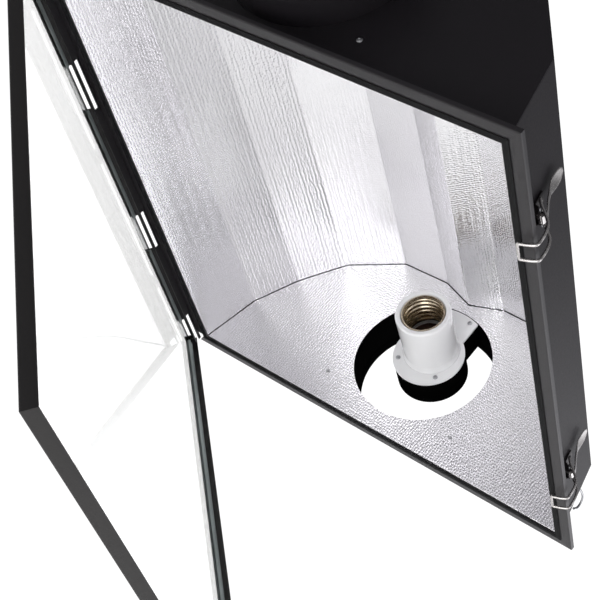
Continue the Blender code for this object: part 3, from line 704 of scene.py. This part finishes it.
# %% Reflector end panels
panel_line = parallel(reflector_line, 0.75)
for side, name in ((-1, "near"), (1, "far")):
    low, high = sorted((side * 267.2, side * 268.0))
    panel = plate([panel_line, circle(73.5, DUCT)], low, high)
    finish_piece(f"reflector_panel_{name}", eased(panel, 0.15, 1), reflector_metal,
                 stands_for=[f"reflector_{name}_plate"])

# %% [markdown]
# ## Duct collars
#
# Each collar is a strip of steel rolled into a ring. A bead is swaged round it near the
# mouth, so that a hose clamp can't slip off, and the mouth's edge is rolled over to be
# safe to the hand. The seam where the strip's ends meet shows as a shallow step.

# %% Collars
def collar_profile(side):
    """Half section of a collar, from the wall to the mouth and back."""
    bead = [(310.0 - 4.0 + 8.0 * i / 10, 76.2 + 1.6 * math.sin(math.pi * i / 10) ** 2) for i in range(11)]
    outer = [(268.6, 76.2), (300.0, 76.2)] + bead + [(321.8, 76.2), (322.6, 76.0), (323.0, 75.6)]
    inner = [(322.6, 75.2), (321.8, 75.0)]
    inner += [(310.0 + 4.0 - 8.0 * i / 10, 75.0 + 1.4 * math.sin(math.pi * i / 10) ** 2) for i in range(11)]
    return [(side * x, r) for x, r in outer + inner + [(268.6, 75.0)]]


for side, name in ((-1, "near"), (1, "far")):
    collar = turned(collar_profile(side), DUCT, 128)
    low, high = sorted((side * 270.0, side * 303.0))
    seam = along_x([(-3.0, DUCT[1] + 76.0), (3.0, DUCT[1] + 76.0), (2.6, DUCT[1] + 76.8), (-2.6, DUCT[1] + 76.8)],
                   low, high)
    ring = finish_piece(f"collar_{name}", together(collar, seam), duct_coat_painted_shade,
                        stands_for=[f"duct_collar_{name}"])
    # Faces inside the collar keep the near-black coat, which is painted shade; faces that look out take the casing's
    # coat.
    ring.data.materials.append(casing_coat)
    for face in ring.data.polygons:
        outward = Vector((0, face.center.y, face.center.z + (ROOF - DUCT[1]) * MM))
        if face.normal.dot(outward) > 0 or abs(face.normal.x) > 0.8:
            face.material_index = 1

# %% [markdown]
# ## The lamp socket
#
# The socket's cup is slip-cast porcelain: a straight barrel that flares slightly at its
# foot, with a thick rounded rim. Casting leaves no sharp corner anywhere, so its profile
# is rounded before it is turned.

# %% Porcelain cup
CUP = (0.0, 114.0)
cup_corners = [(267.6, 0.01), (267.6, 30.7), (264.8, 30.5), (259.5, 28.6), (202.5, 29.4), (200.0, 28.6),
               (200.0, 24.0), (203.0, 23.4), (251.6, 23.4), (251.6, 0.01)]
cup_profile = filleted(cup_corners, 2.4, 6)
cup_profile = [(267.6, 0.0)] + cup_profile[1:-1] + [(251.6, 0.0)]
finish_piece("porcelain_cup", turned(cup_profile, CUP, 96), porcelain, stands_for=["socket_cup"])

# %% [markdown]
# The lamp screws into a thin shell rolled with a knuckle thread: round crests and round
# roots, one turn every 6.35 mm. It is a true helix here, not a stack of rings: each
# point's radius follows a wave that moves on by one pitch with every turn.

# %% Thread shell
PITCH, SHELL_R, WAVE = 6.35, 21.2, 0.95


def thread_shell(start, length, sides=72, per_turn=12):
    """The rolled thread, with a plain rim at its mouth."""
    rows = int(length / PITCH * per_turn)
    verts, faces = [], []
    for row in range(rows + 1):
        x = start + length * row / rows
        fade = min(1.0, (x - start) / 3.5, (start + length - x) / 3.0)
        for i in range(sides):
            a = 2 * math.pi * i / sides
            r = SHELL_R + WAVE * fade * math.cos(2 * math.pi * (x - start) / PITCH - a)
            verts.append((x, CUP[0] + r * math.cos(a), CUP[1] + r * math.sin(a)))
    for row in range(rows):
        for i in range(sides):
            j = (i + 1) % sides
            faces.append((row * sides + i, row * sides + j, (row + 1) * sides + j, (row + 1) * sides + i))
    skin = mesh_of(verts, faces)
    return with_modifiers(skin, ("SOLIDIFY", {"thickness": 0.5, "offset": 0.0}))


mouth = turned([(201.4, 21.6), (201.4, 22.8), (201.9, 23.1), (202.4, 22.9), (203.4, 21.8), (203.4, 21.2)], CUP, 72)
shell_mesh = together(thread_shell(203.0, 38.6), mouth)
finish_piece("thread_shell", shell_mesh, shell_nickel, stands_for=["screw_shell"])

# %% [markdown]
# At the bottom of the cup sits a brown insulating disc, and through it comes the brass
# button that meets the tip of the lamp's base. A leaf of the same brass stands beside the
# button and gives a little under the lamp, so that the two always touch.

# %% Insulator and centre contact
insulator = [(251.2, 0.0), (251.2, 22.2), (248.6, 22.2), (248.0, 21.6), (248.0, 12.0), (246.9, 11.0), (246.9, 8.0),
             (248.0, 7.0), (248.0, 0.0)]
finish_piece("socket_insulator_disc", turned(insulator, CUP, 64), phenolic,
             stands_for=["socket_insulator"])
button = filleted([(247.8, 0.01), (247.8, 5.2), (243.0, 5.2), (240.0, 4.3), (238.0, 2.6), (237.4, 0.01)], 0.8, 4)
button = [(247.8, 0.0)] + button[1:-1] + [(237.4, 0.0)]
tongue_line = filleted([(CUP[1] - 4.2, 244.5), (CUP[1] - 3.4, 238.5), (CUP[1] + 1.0, 231.5), (CUP[1] + 3.6, 237.8)], 2.5, 6)
tongue = plate([sheet_section(tongue_line, 0.8)], -3.5, 3.5, Matrix(((0, 1, 0, 0), (0, 0, 1, 0), (1, 0, 0, 0), (0, 0, 0, 1))))
finish_piece("contact_button", together(turned(button, CUP, 40), eased(tongue, 0.15, 2)), contact_brass,
             stands_for=["centre_contact"])

# %% [markdown]
# The cup stands on a keyhole-shaped enamelled plate: a disc behind the cup, and a tab
# that reaches up to the rim of the duct. The same outline, a little smaller, is the steel
# wiring box behind it. Both come from one function, and the plate's edge is eased because
# enamel always rounds over a corner.

# %% Keyhole plate and wiring box
DISC = (0.0, 108.6)


def keyhole(radius, half_tab, reach, steps=56):
    """Outline of the disc with its tab, in (y, z)."""
    start = math.acos(half_tab / radius)
    sweep = [start - (2 * start + math.pi) * i / steps for i in range(steps + 1)]
    disc = [(radius * math.cos(a), DISC[1] + radius * math.sin(a)) for a in sweep]
    end = math.acos(half_tab / reach)
    tab = [math.pi - end - (math.pi - 2 * end) * i / 14 for i in range(15)]
    return disc + [(reach * math.cos(a), DUCT[1] + reach * math.sin(a)) for a in tab]


keyhole_plate = eased(plate([keyhole(38.4, 22.5, 72.7)], 267.9, 270.3), 0.5, 3)
finish_piece("keyhole_plate", keyhole_plate, enamel, stands_for=["socket_plate"])
wiring_box = plate([keyhole(37.9, 22.0, 72.7)], 270.6, 302.0)
hollow = plate([keyhole(35.9, 20.0, 70.7)], 268.0, 300.5)
# The wiring box wears the near-black coat: painted shade.
finish_piece("wiring_box", eased(cut(wiring_box, hollow), 0.3, 2), duct_coat_painted_shade,
             stands_for=["socket_box"])
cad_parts["terminal_block"].data.materials.clear()
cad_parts["terminal_block"].data.materials.append(phenolic)

# %% [markdown]
# Four small pan-head screws hold the plate. A pan head is a low dome with a cross driven
# into it, so it is turned and then cut twice.

# %% Plate screws
def pan_head(radius, height):
    """A pan head that faces -X, its seat at x = 0, about the X axis."""
    dome = [(0.0, 0.0), (0.0, radius)]
    dome += [(-height * math.sin(a), radius * (0.35 + 0.65 * math.cos(a))) for a in
             [math.radians(15 * i) for i in range(1, 7)]] + [(-height, 0.0)]
    head = turned(dome, (0, 0), 32)
    slots = [box((-height - 1, -radius * 0.62, -0.28), (-height * 0.45, radius * 0.62, 0.28)),
             box((-height - 1, -0.28, -radius * 0.62), (-height * 0.45, 0.28, radius * 0.62))]
    return cut(head, *slots)


screw_head = pan_head(2.6, 1.4)
screw_places = [(25.5, 88.6), (-23.5, 88.1), (14.4, 164.0), (-14.4, 164.0)]
for number, (y, z) in enumerate(screw_places, 1):
    turn = Matrix.Rotation(math.radians(20 + 37 * number), 4, "X")
    head = moved(screw_head, Matrix.Translation((267.6, y, z)) @ turn)
    finish_piece(f"plate_screw_{number}", head, zinc, stands_for=[f"socket_screw_{number}"], angle=30)

# %% [markdown]
# ## Rivets
#
# Blind rivets hold the end walls and the reflector's panels. Their heads are shallow
# domes with the broken stem showing as a dimple in the middle. One head is turned, then
# scaled and faced each way.

# %% Rivets
def rivet_head(radius, height):
    """A blind rivet's head that faces +X, its seat at x = 0, about the X axis."""
    rim = [(0.0, 0.0), (0.0, radius), (height * 0.35, radius)]
    crown = [(height * (0.35 + 0.65 * math.sin(a)), radius * math.cos(a)) for a in
             [math.radians(v) for v in (20, 38, 54)]]
    return turned(rim + crown + [(height, radius * 0.40), (height * 0.55, radius * 0.30), (height * 0.55, 0.0)],
                  (0, 0), 28)


TURN_BACK = Matrix.Rotation(math.pi, 4, "Z")
for side, end in ((-1, "near"), (1, "far")):
    for letter, y in (("a", -80.1), ("b", 80.1)):
        facing = Matrix.Identity(4) if side > 0 else TURN_BACK
        head = moved(rivet_head(2.6, 1.2), Matrix.Translation((side * 269.7, y, 36.2)) @ facing)
        finish_piece(f"wall_rivet_{end}_{letter}_head", head, zinc,
                     stands_for=[f"wall_rivet_{end}_{letter}"])
        facing = TURN_BACK if side > 0 else Matrix.Identity(4)
        stud = moved(rivet_head(1.9, 0.8), Matrix.Translation((side * 266.9, y, 35.7)) @ facing)
        finish_piece(f"panel_rivet_{end}_{letter}_head", stud, zinc,
                     stands_for=[f"plate_rivet_{end}_{letter}"])

# %% [markdown]
# ## The door
#
# The door is a shallow tray folded from four rails, mitred and welded at the corners. A
# rail is an upright skirt with a flange turned in under the glass. On the hinge side the
# skirt is a little lower, has three small windows, and carries the hinge's knuckles.

# %% Door rails
DOOR_X, DOOR_FREE, DOOR_HINGE = 282.4, -239.1, 244.9


def tray_section(top):
    """Skirt and flange of one rail, as (outward, z) from the outer face."""
    line = filleted([(0.0, top), (0.0, -12.2), (-12.0, -12.2)], 1.6, 6)
    return sheet_section(line, -1.2)


door_rails = []
for side in ("near", "free", "far"):
    door_rails.append(eased(rail(tray_section(0.9), side, DOOR_X, DOOR_FREE, DOOR_HINGE), 0.15, 1, 60))
hinge_rail = rail(tray_section(-0.9), "hinge", DOOR_X, DOOR_FREE, DOOR_HINGE)
DOOR_WINDOWS = ((-138.0, -82.0), (69.0, 122.0), (245.0, 276.0))
slots = [box((a, DOOR_HINGE - 4, -7.4), (b, DOOR_HINGE + 4, -4.0)) for a, b in DOOR_WINDOWS]
door_rails.append(eased(cut(hinge_rail, *slots), 0.15, 1, 60))

# %% [markdown]
# Three knuckles stand on the door's hinge rail, each between two of the hood's lugs. A
# knuckle is a leaf with its end curled into an eye.

# %% Hinge knuckles on the door
leaf_outline = [(-1.9, -15.0), (-0.1, -15.0)] + arc(2.6, 267.8, 600.0) + [(-1.3, -5.2), (-1.9, -5.2)]
knuckles = []
for middle in KNUCKLES:
    leaf = plate([about_hinge(leaf_outline), circle(1.6, (HINGE.y, HINGE.z), 24)], middle - 10, middle + 10)
    knuckles.append(eased(leaf, 0.15, 1, 50))
finish_piece("door_tray", together(*door_rails, *knuckles), door_coat, "door_body", ON_DOOR,
             ["door_frame"])

# %% [markdown]
# The pane lies in the tray. Its big faces are clear and its ground edges are green, so
# the block gets two finishes, chosen by which way each face looks. The edges are ground
# with a small flat all round, which is the bevel.

# %% Glass pane
pane = eased(box((-280.7, -237.4, -10.9), (280.7, 243.2, -7.9)), 0.5, 1)
pane_piece = finish_piece("glass_pane", pane, pane_glass, "door_body", ON_DOOR, ["door_glass"], 20)
pane_piece.data.materials.append(edge_glass)
face_up = OPENED.to_3x3() @ Vector((0, 0, 1))
for face in pane_piece.data.polygons:
    if abs(face.normal.dot(face_up)) < 0.9:
        face.material_index = 1
print("ground edge faces:", sum(face.material_index for face in pane_piece.data.polygons))

# %% [markdown]
# A strip of silicone beds the pane against the skirt all round. It is squeezed in and
# wiped, so its face is a shallow hollow that shines along its length.

# %% Glazing strip
def strip_section(top):
    """Silicone between pane and skirt, as (outward, z) from the pane's edge."""
    cove = [(-7.0 * t, top - (top + 7.5) * (1 - (1 - t) ** 2)) for t in (0.15, 0.3, 0.45, 0.6, 0.75, 0.9)]
    return [(0.0, -7.6), (0.0, top)] + cove + [(-7.0, -7.6)]


strips = [rail(strip_section(-4.9), side, 280.7, -237.4, 243.2, 0.0) for side in ("near", "free", "far")]
flange_room = (-290.0, 237.0, -6.1), (290.0, 250.0, -4.0)
strips[0], strips[2] = cut(strips[0], box(*flange_room)), cut(strips[2], box(*flange_room))
hinge_section = [(243.2 + out, z) for out, z in strip_section(-6.0)]
edges = [-273.7] + [edge for window in DOOR_WINDOWS for edge in window] + [273.7]
for start, end in zip(edges[::2], edges[1::2]):
    if end > start:
        strips.append(along_x(hinge_section, start, end))
# The strip's pale grey colour is painted sheen.
finish_piece("glazing_strip", together(*strips), silicone_painted_sheen, "door_body", ON_DOOR, ["glazing_bead"])

# %% [markdown]
# One plain rod runs through every lug and knuckle. Its ends are chamfered so that it can
# be pushed in.

# %% Hinge rod
rod = turned([(-272.5, 0.0), (-272.5, 0.9), (-272.1, 1.3), (272.1, 1.3), (272.5, 0.9), (272.5, 0.0)],
             (HINGE.y, HINGE.z), 24)
finish_piece("hinge_pin_rod", rod, zinc, stands_for=["hinge_rod"])

# %% [markdown]
# ## Draw latches
#
# A draw latch is three pieces on a pin: a base riveted to the wall, a lever that curls
# round the pin, and a wire bail that hangs from the lever. The bail hooks under the door,
# and the lever pulls it tight. The base is a strip with two ears folded out of it.

# %% Latch base, pin and rivets
# The base is drawn flat against a wall that stands upright, then leaned over with it.
LEAN = math.atan(WALL_SLOPE)
LATCHES = ((1, -172.0), (2, 183.0))
LATCH_PIVOT, BAIL_PIVOT = Vector((0, -233.5, 25.0)), Vector((0, -228.0, 34.0))
on_wall = Matrix.Translation((0, -WALL_FOOT, 0)) @ Matrix.Rotation(-LEAN, 4, "X")
pin_at = on_wall.inverted() @ LATCH_PIVOT


def latch_base():
    """Strip and two ears, in the wall's own plane: x across, y out of the wall, z up it."""
    ear = [(-1.0, pin_at.z - 6.0)] + [(pin_at.y + y, pin_at.z + z) for y, z in
                                      [(0.3, -2.75)] + [(-abs(2.7 * math.cos(a)), 2.7 * math.sin(a)) for a in
                                                        [math.radians(v) for v in range(-80, 81, 20)]] +
                                      [(0.3, 2.75)]] + [(-1.0, pin_at.z + 6.0)]
    bore = circle(1.4, (pin_at.y, pin_at.z), 20)
    ears = [plate([ear, bore], *sorted((side * 4.8, side * 6.0))) for side in (-1, 1)]
    strip = plate([filleted([(-6.0, 12.0), (6.0, 12.0), (6.0, 44.0), (-6.0, 44.0), (-6.0, 12.0)], 1.6)[:-1]],
                  -1.5, -0.3, UPRIGHT)
    return together(eased(strip, 0.2, 1), *[eased(e, 0.2, 1) for e in ears])


FACE_OUT = Matrix.Rotation(math.radians(-90), 4, "Z")
for number, x in LATCHES:
    place = ON_HOOD @ Matrix.Translation((x, 0, 0)) @ on_wall
    # The base's dark plating is painted shade.
    finish_piece(f"latch_{number}_base", latch_base(), latch_base_painted_shade, place=place,
                 stands_for=[f"latch_base_{number}"])
    pin = turned([(-10.0, 0.0), (-10.0, 0.8), (-9.7, 1.1), (9.7, 1.1), (10.0, 0.8), (10.0, 0.0)],
                 (pin_at.y, pin_at.z), 20)
    finish_piece(f"latch_{number}_pin", pin, zinc, place=place, stands_for=[f"latch_pin_{number}"])
    for letter, z in (("a", 15.5), ("b", 38.5)):
        head = moved(rivet_head(2.2, 1.0), Matrix.Translation((0, -1.8, z)) @ FACE_OUT)
        finish_piece(f"latch_{number}_rivet_{letter}", head, zinc, place=place,
                     stands_for=[f"latch_rivet_{number}{letter}"])

# %% [markdown]
# The lever is a strip of spring steel, pressed into a shallow spoon at the finger end and
# curled into a barrel at the other. It is built as rows of points across the strip, each
# row crowned a little, with the bowl pressed in near the end.

# %% Latch lever
lever_line = [(-2.9, -2.8), (-3.4, 0.6), (-2.6, 4.4), (0.4, 9.6), (3.6, 15.0), (6.4, 21.0), (8.4, 26.0), (9.4, 30.0),
              (10.0, 35.5), (10.6, 41.0), (11.3, 45.0), (11.6, 46.2)]
lever_width = [8.4, 8.4, 7.6, 6.8, 6.4, 7.0, 11.0, 14.4, 15.6, 13.6, 8.0, 4.0]


def latch_lever():
    """The strip with its spoon, curled round the pin at the origin."""
    stations = through([(y, z, w) for (y, z), w in zip(lever_line, lever_width)], 5)
    verts, faces, across = [], [], 8
    for y, z, width in stations:
        bowl = max(0.0, 1 - ((z - 36.5) / 9.5) ** 2)
        neck = max(0.0, 1 - ((z - 15.0) / 11.0) ** 2)
        for i in range(across + 1):
            s = 2 * i / across - 1
            press = 1.1 * bowl * (1 - s * s)
            crown = -(0.3 + 0.5 * neck) * (1 - s * s) * (1 - bowl)
            verts.append((s * width / 2, y + press + crown, z))
    for row in range(len(stations) - 1):
        for i in range(across):
            a = row * (across + 1) + i
            faces.append((a, a + 1, a + across + 2, a + across + 1))
    strip = with_modifiers(mesh_of(verts, faces), ("SOLIDIFY", {"thickness": 1.0, "offset": 0.0}))
    barrel = eased(plate([circle(2.8, steps=32), circle(1.4, steps=32)], -4.3, 4.3), 0.15, 1)
    return together(eased(strip, 0.2, 2, 50), barrel)


for number, x in LATCHES:
    place = ON_HOOD @ Matrix.Translation(Vector((x, 0, 0)) + LATCH_PIVOT)
    finish_piece(f"latch_{number}_lever", latch_lever(), latch_nickel,
                 f"latch_lever_body_{number}", place, [f"latch_lever_{number}"])

# %% [markdown]
# The bail is 2.5 mm spring wire bent in three dimensions: out from its pivot, down past
# the lip, and back under it. Its two legs lean the same way, as a wire with play does.

# %% Wire bail
bail_line = [(0.0, 0.0), (-4.6, -5.2), (-9.8, -9.3), (-15.2, -13.9), (-17.9, -18.6), (-19.1, -24.6), (-19.2, -29.6),
             (-18.8, -33.6), (-14.6, -36.4), (-6.0, -39.5)]


def wire_bail(leg=8.75, drift=6.0):
    """Closed loop of wire from one tail round to the other."""
    legs = []
    for side in (-1, 1):
        legs.append([(side * leg + drift * min(1.0, -z / 30), y, z) for y, z in bail_line])
    smooth_legs = [through(points, 5) for points in legs]
    tail = leg - 6.0
    path = [(-tail, 0, 0)] + smooth_legs[0] + smooth_legs[1][::-1] + [(tail, 0, 0)]
    corners = [Vector(p) for p in path]
    softened = [corners[0]]
    for before, corner, after in zip(corners, corners[1:], corners[2:]):
        if (before - corner).angle(after - corner) < math.radians(130):
            back, ahead = (before - corner).normalized(), (after - corner).normalized()
            for i in range(6):
                t = i / 5
                softened.append((corner + back * 1.3) * (1 - t) ** 2 + corner * 2 * t * (1 - t)
                                + (corner + ahead * 1.3) * t * t)
        else:
            softened.append(corner)
    return wire(softened + [corners[-1]], 1.25, 4)


for number, x in LATCHES:
    place = ON_HOOD @ Matrix.Translation(Vector((x, 0, 0)) + BAIL_PIVOT)
    finish_piece(f"latch_{number}_wire_bail", wire_bail(), latch_nickel,
                 f"latch_bail_body_{number}", place, [f"latch_bail_{number}"], 60)

# %% [markdown]
# ## The roof and the far end
#
# Four lugs carry the hood. Each is a small angle of zinc plated steel with an eye. The
# lamp's lead leaves by a rubber gland with a moulded collar. A loop of plain wire stands
# off the far wall.

# %% Hanger lugs
for number, (x, y) in enumerate(((-180, 85), (180, 85), (-180, -85), (180, -85)), 1):
    fin_line = filleted([(x - 12, 206.9), (x + 12, 206.9), (x + 12, 228.3), (x - 12, 228.3), (x - 12, 206.9)],
                        7.0, 8)
    fin = plate([fin_line[:-1], circle(4.5, (x, 220.3), 32)], y - 0.8, y + 0.8, UPRIGHT)
    foot = plate([filleted([(x - 12, y - 10), (x + 12, y - 10), (x + 12, y + 10), (x - 12, y + 10),
                            (x - 12, y - 10)], 3.0)[:-1]], 206.3, 207.9, Matrix.Identity(4))
    spots = []
    for dx, dy in ((-8, -6), (8, -6), (-8, 6), (8, 6)):
        spot = moved(rivet_head(1.5, 0.5), Matrix.Translation((x + dx, y + dy, 207.9))
                     @ Matrix.Rotation(math.radians(-90), 4, "Y"))
        spots.append(spot)
    finish_piece(f"hanger_{number}", together(eased(fin, 0.25, 1), eased(foot, 0.25, 1), *spots), zinc,
                 stands_for=[f"hanger_lug_{number}"])

# %% [markdown]
# The lead's gland is turned in one piece: a sleeve through the roof, a broad flange that
# the fingers hold, and a domed cap. Eighteen small ribs round the flange give grip.

# %% Lead gland
gland_points = filleted([(8.2, 200.6), (8.2, 206.3), (12.5, 206.3), (12.5, 211.0), (9.0, 212.0), (7.8, 212.6),
                         (7.0, 219.8), (5.2, 220.3), (5.2, 200.6)], 0.7, 3)
gland = turned([(z, r) for r, z in gland_points], (0, 0), 48)
ribs = [moved(box((206.6, 11.9, -0.7), (210.6, 12.45, 0.7)), Matrix.Rotation(math.radians(20 * i), 4, "X"))
        for i in range(18)]
upright = Matrix.Translation((215.0, 0, 0)) @ Matrix.Rotation(math.radians(-90), 4, "Y")
finish_piece("lead_gland_moulding", moved(together(gland, *ribs), upright), rubber,
             stands_for=["lead_gland"])

# %% [markdown]
# The loop on the far wall is one bent wire, drawn as a smooth line through a few points
# and given the wire's thickness.

# %% Wire loop
loop_path = through([(270.2, -215.0, 56.2), (284.7, -215.0, 61.7), (299.2, -215.0, 64.3), (306.9, -215.0, 61.0),
                     (307.4, -215.0, 54.0), (300.8, -215.0, 48.3)], 6)
finish_piece("wire_loop", wire(loop_path, 1.2, 4), zinc, stands_for=["wire_clip"], angle=60)

# %% [markdown]
# ## Floor, sky and light
#
# The hood hangs well above a pale floor, in a white room. The room that the camera sees
# is plain white. The room that the metal sees is shaped like a studio: bright below and
# behind the hood, where the big soft boxes stand, and dark on the side where the near end
# wall looks, which is what keeps that wall black. A wide soft light overhead fills the
# roof for anyone who looks down on it.

# %% Floor
floor_mesh = bpy.data.meshes.new("floor")
rim = [(24 * math.cos(math.radians(a)), 24 * math.sin(math.radians(a)), -2.3) for a in range(0, 360, 5)]
floor_mesh.from_pydata(rim, [], [tuple(range(len(rim)))])
floor = bpy.data.objects.new("floor", floor_mesh)
bpy.context.scene.collection.objects.link(floor)
floor_paint, floor_tree, floor_shader = new_material("pale_floor_paint", Roughness=0.7)
floor_noise = add_node(floor_tree, "ShaderNodeTexNoise", None, {"Vector": position(floor_tree), "Scale": 1.5})
floor_mix = add_node(floor_tree, "ShaderNodeMix", {"data_type": "RGBA"})
floor_tree.links.new(floor_noise.outputs["Fac"], floor_mix.inputs["Factor"])
floor_mix.inputs["A"].default_value = linear("#efefee")
floor_mix.inputs["B"].default_value = linear("#f6f6f5")
floor_tree.links.new(floor_mix.outputs["Result"], floor_shader.inputs["Base Color"])
floor_mesh.materials.append(floor_paint)
print("floor at", floor_mesh.vertices[0].co.z, "m")

# %% Room
bpy.context.scene.view_settings.view_transform = "Standard"
room = bpy.data.worlds.new("white_room")
bpy.context.scene.world = room
room.use_nodes = True
room_tree = room.node_tree
room_tree.nodes.clear()
seen = add_node(room_tree, "ShaderNodeBackground", None, {"Color": linear("#ffffff"), "Strength": 1.3})
direction = add_node(room_tree, "ShaderNodeTexCoord").outputs["Generated"]
toward_light = add_node(room_tree, "ShaderNodeVectorMath", {"operation": "DOT_PRODUCT"}, {0: direction})
toward_light.inputs[1].default_value = (0.30, 0.0, -0.954)
studio_level = add_node(room_tree, "ShaderNodeMapRange", {"interpolation_type": "SMOOTHSTEP"},
                        {"Value": toward_light.outputs["Value"], "From Min": -0.46, "From Max": 0.24,
                         "To Min": 0.17, "To Max": 2.6})
studio = add_node(room_tree, "ShaderNodeBackground", None,
                  {"Color": linear("#fbfbff"), "Strength": studio_level.outputs["Result"]})
ray = add_node(room_tree, "ShaderNodeLightPath")
straight = add_node(room_tree, "ShaderNodeMath", {"operation": "MAXIMUM"},
                    {0: ray.outputs["Is Camera Ray"], 1: ray.outputs["Is Transmission Ray"]})
backdrop = add_node(room_tree, "ShaderNodeMapRange", None,
                    {"Value": ray.outputs["Is Transmission Ray"], "To Min": 1.1, "To Max": 1.85})
room_tree.links.new(backdrop.outputs["Result"], seen.inputs["Strength"])
choice = add_node(room_tree, "ShaderNodeMixShader", None, {0: straight.outputs["Value"]})
room_tree.links.new(studio.outputs["Background"], choice.inputs[1])
room_tree.links.new(seen.outputs["Background"], choice.inputs[2])
add_node(room_tree, "ShaderNodeOutputWorld", None, {"Surface": choice.outputs["Shader"]})
print("room ready")


# %% Soft lights
def soft_light(name, place, target, size, watts, mirrored):
    """A square soft box that looks at a point, and that bright metal mirrors or doesn't."""
    data = bpy.data.lights.new(name, "AREA")
    data.shape = "SQUARE"
    data.size = size
    data.energy = watts
    lamp = bpy.data.objects.new(name, data)
    lamp.location = place
    lamp.rotation_euler = (Vector(target) - Vector(place)).to_track_quat("-Z", "Y").to_euler()
    lamp.visible_camera = False
    lamp.visible_glossy = mirrored
    bpy.context.scene.collection.objects.link(lamp)
    return lamp


soft_light("overhead_box", (0.3, 0.2, 5.5), (0, 0, 0), 5.0, 650.0, False)
soft_light("low_box", (-0.9, -1.0, -1.9), (0.05, 0.0, -0.1), 1.4, 16.0, True)
print("two soft boxes")
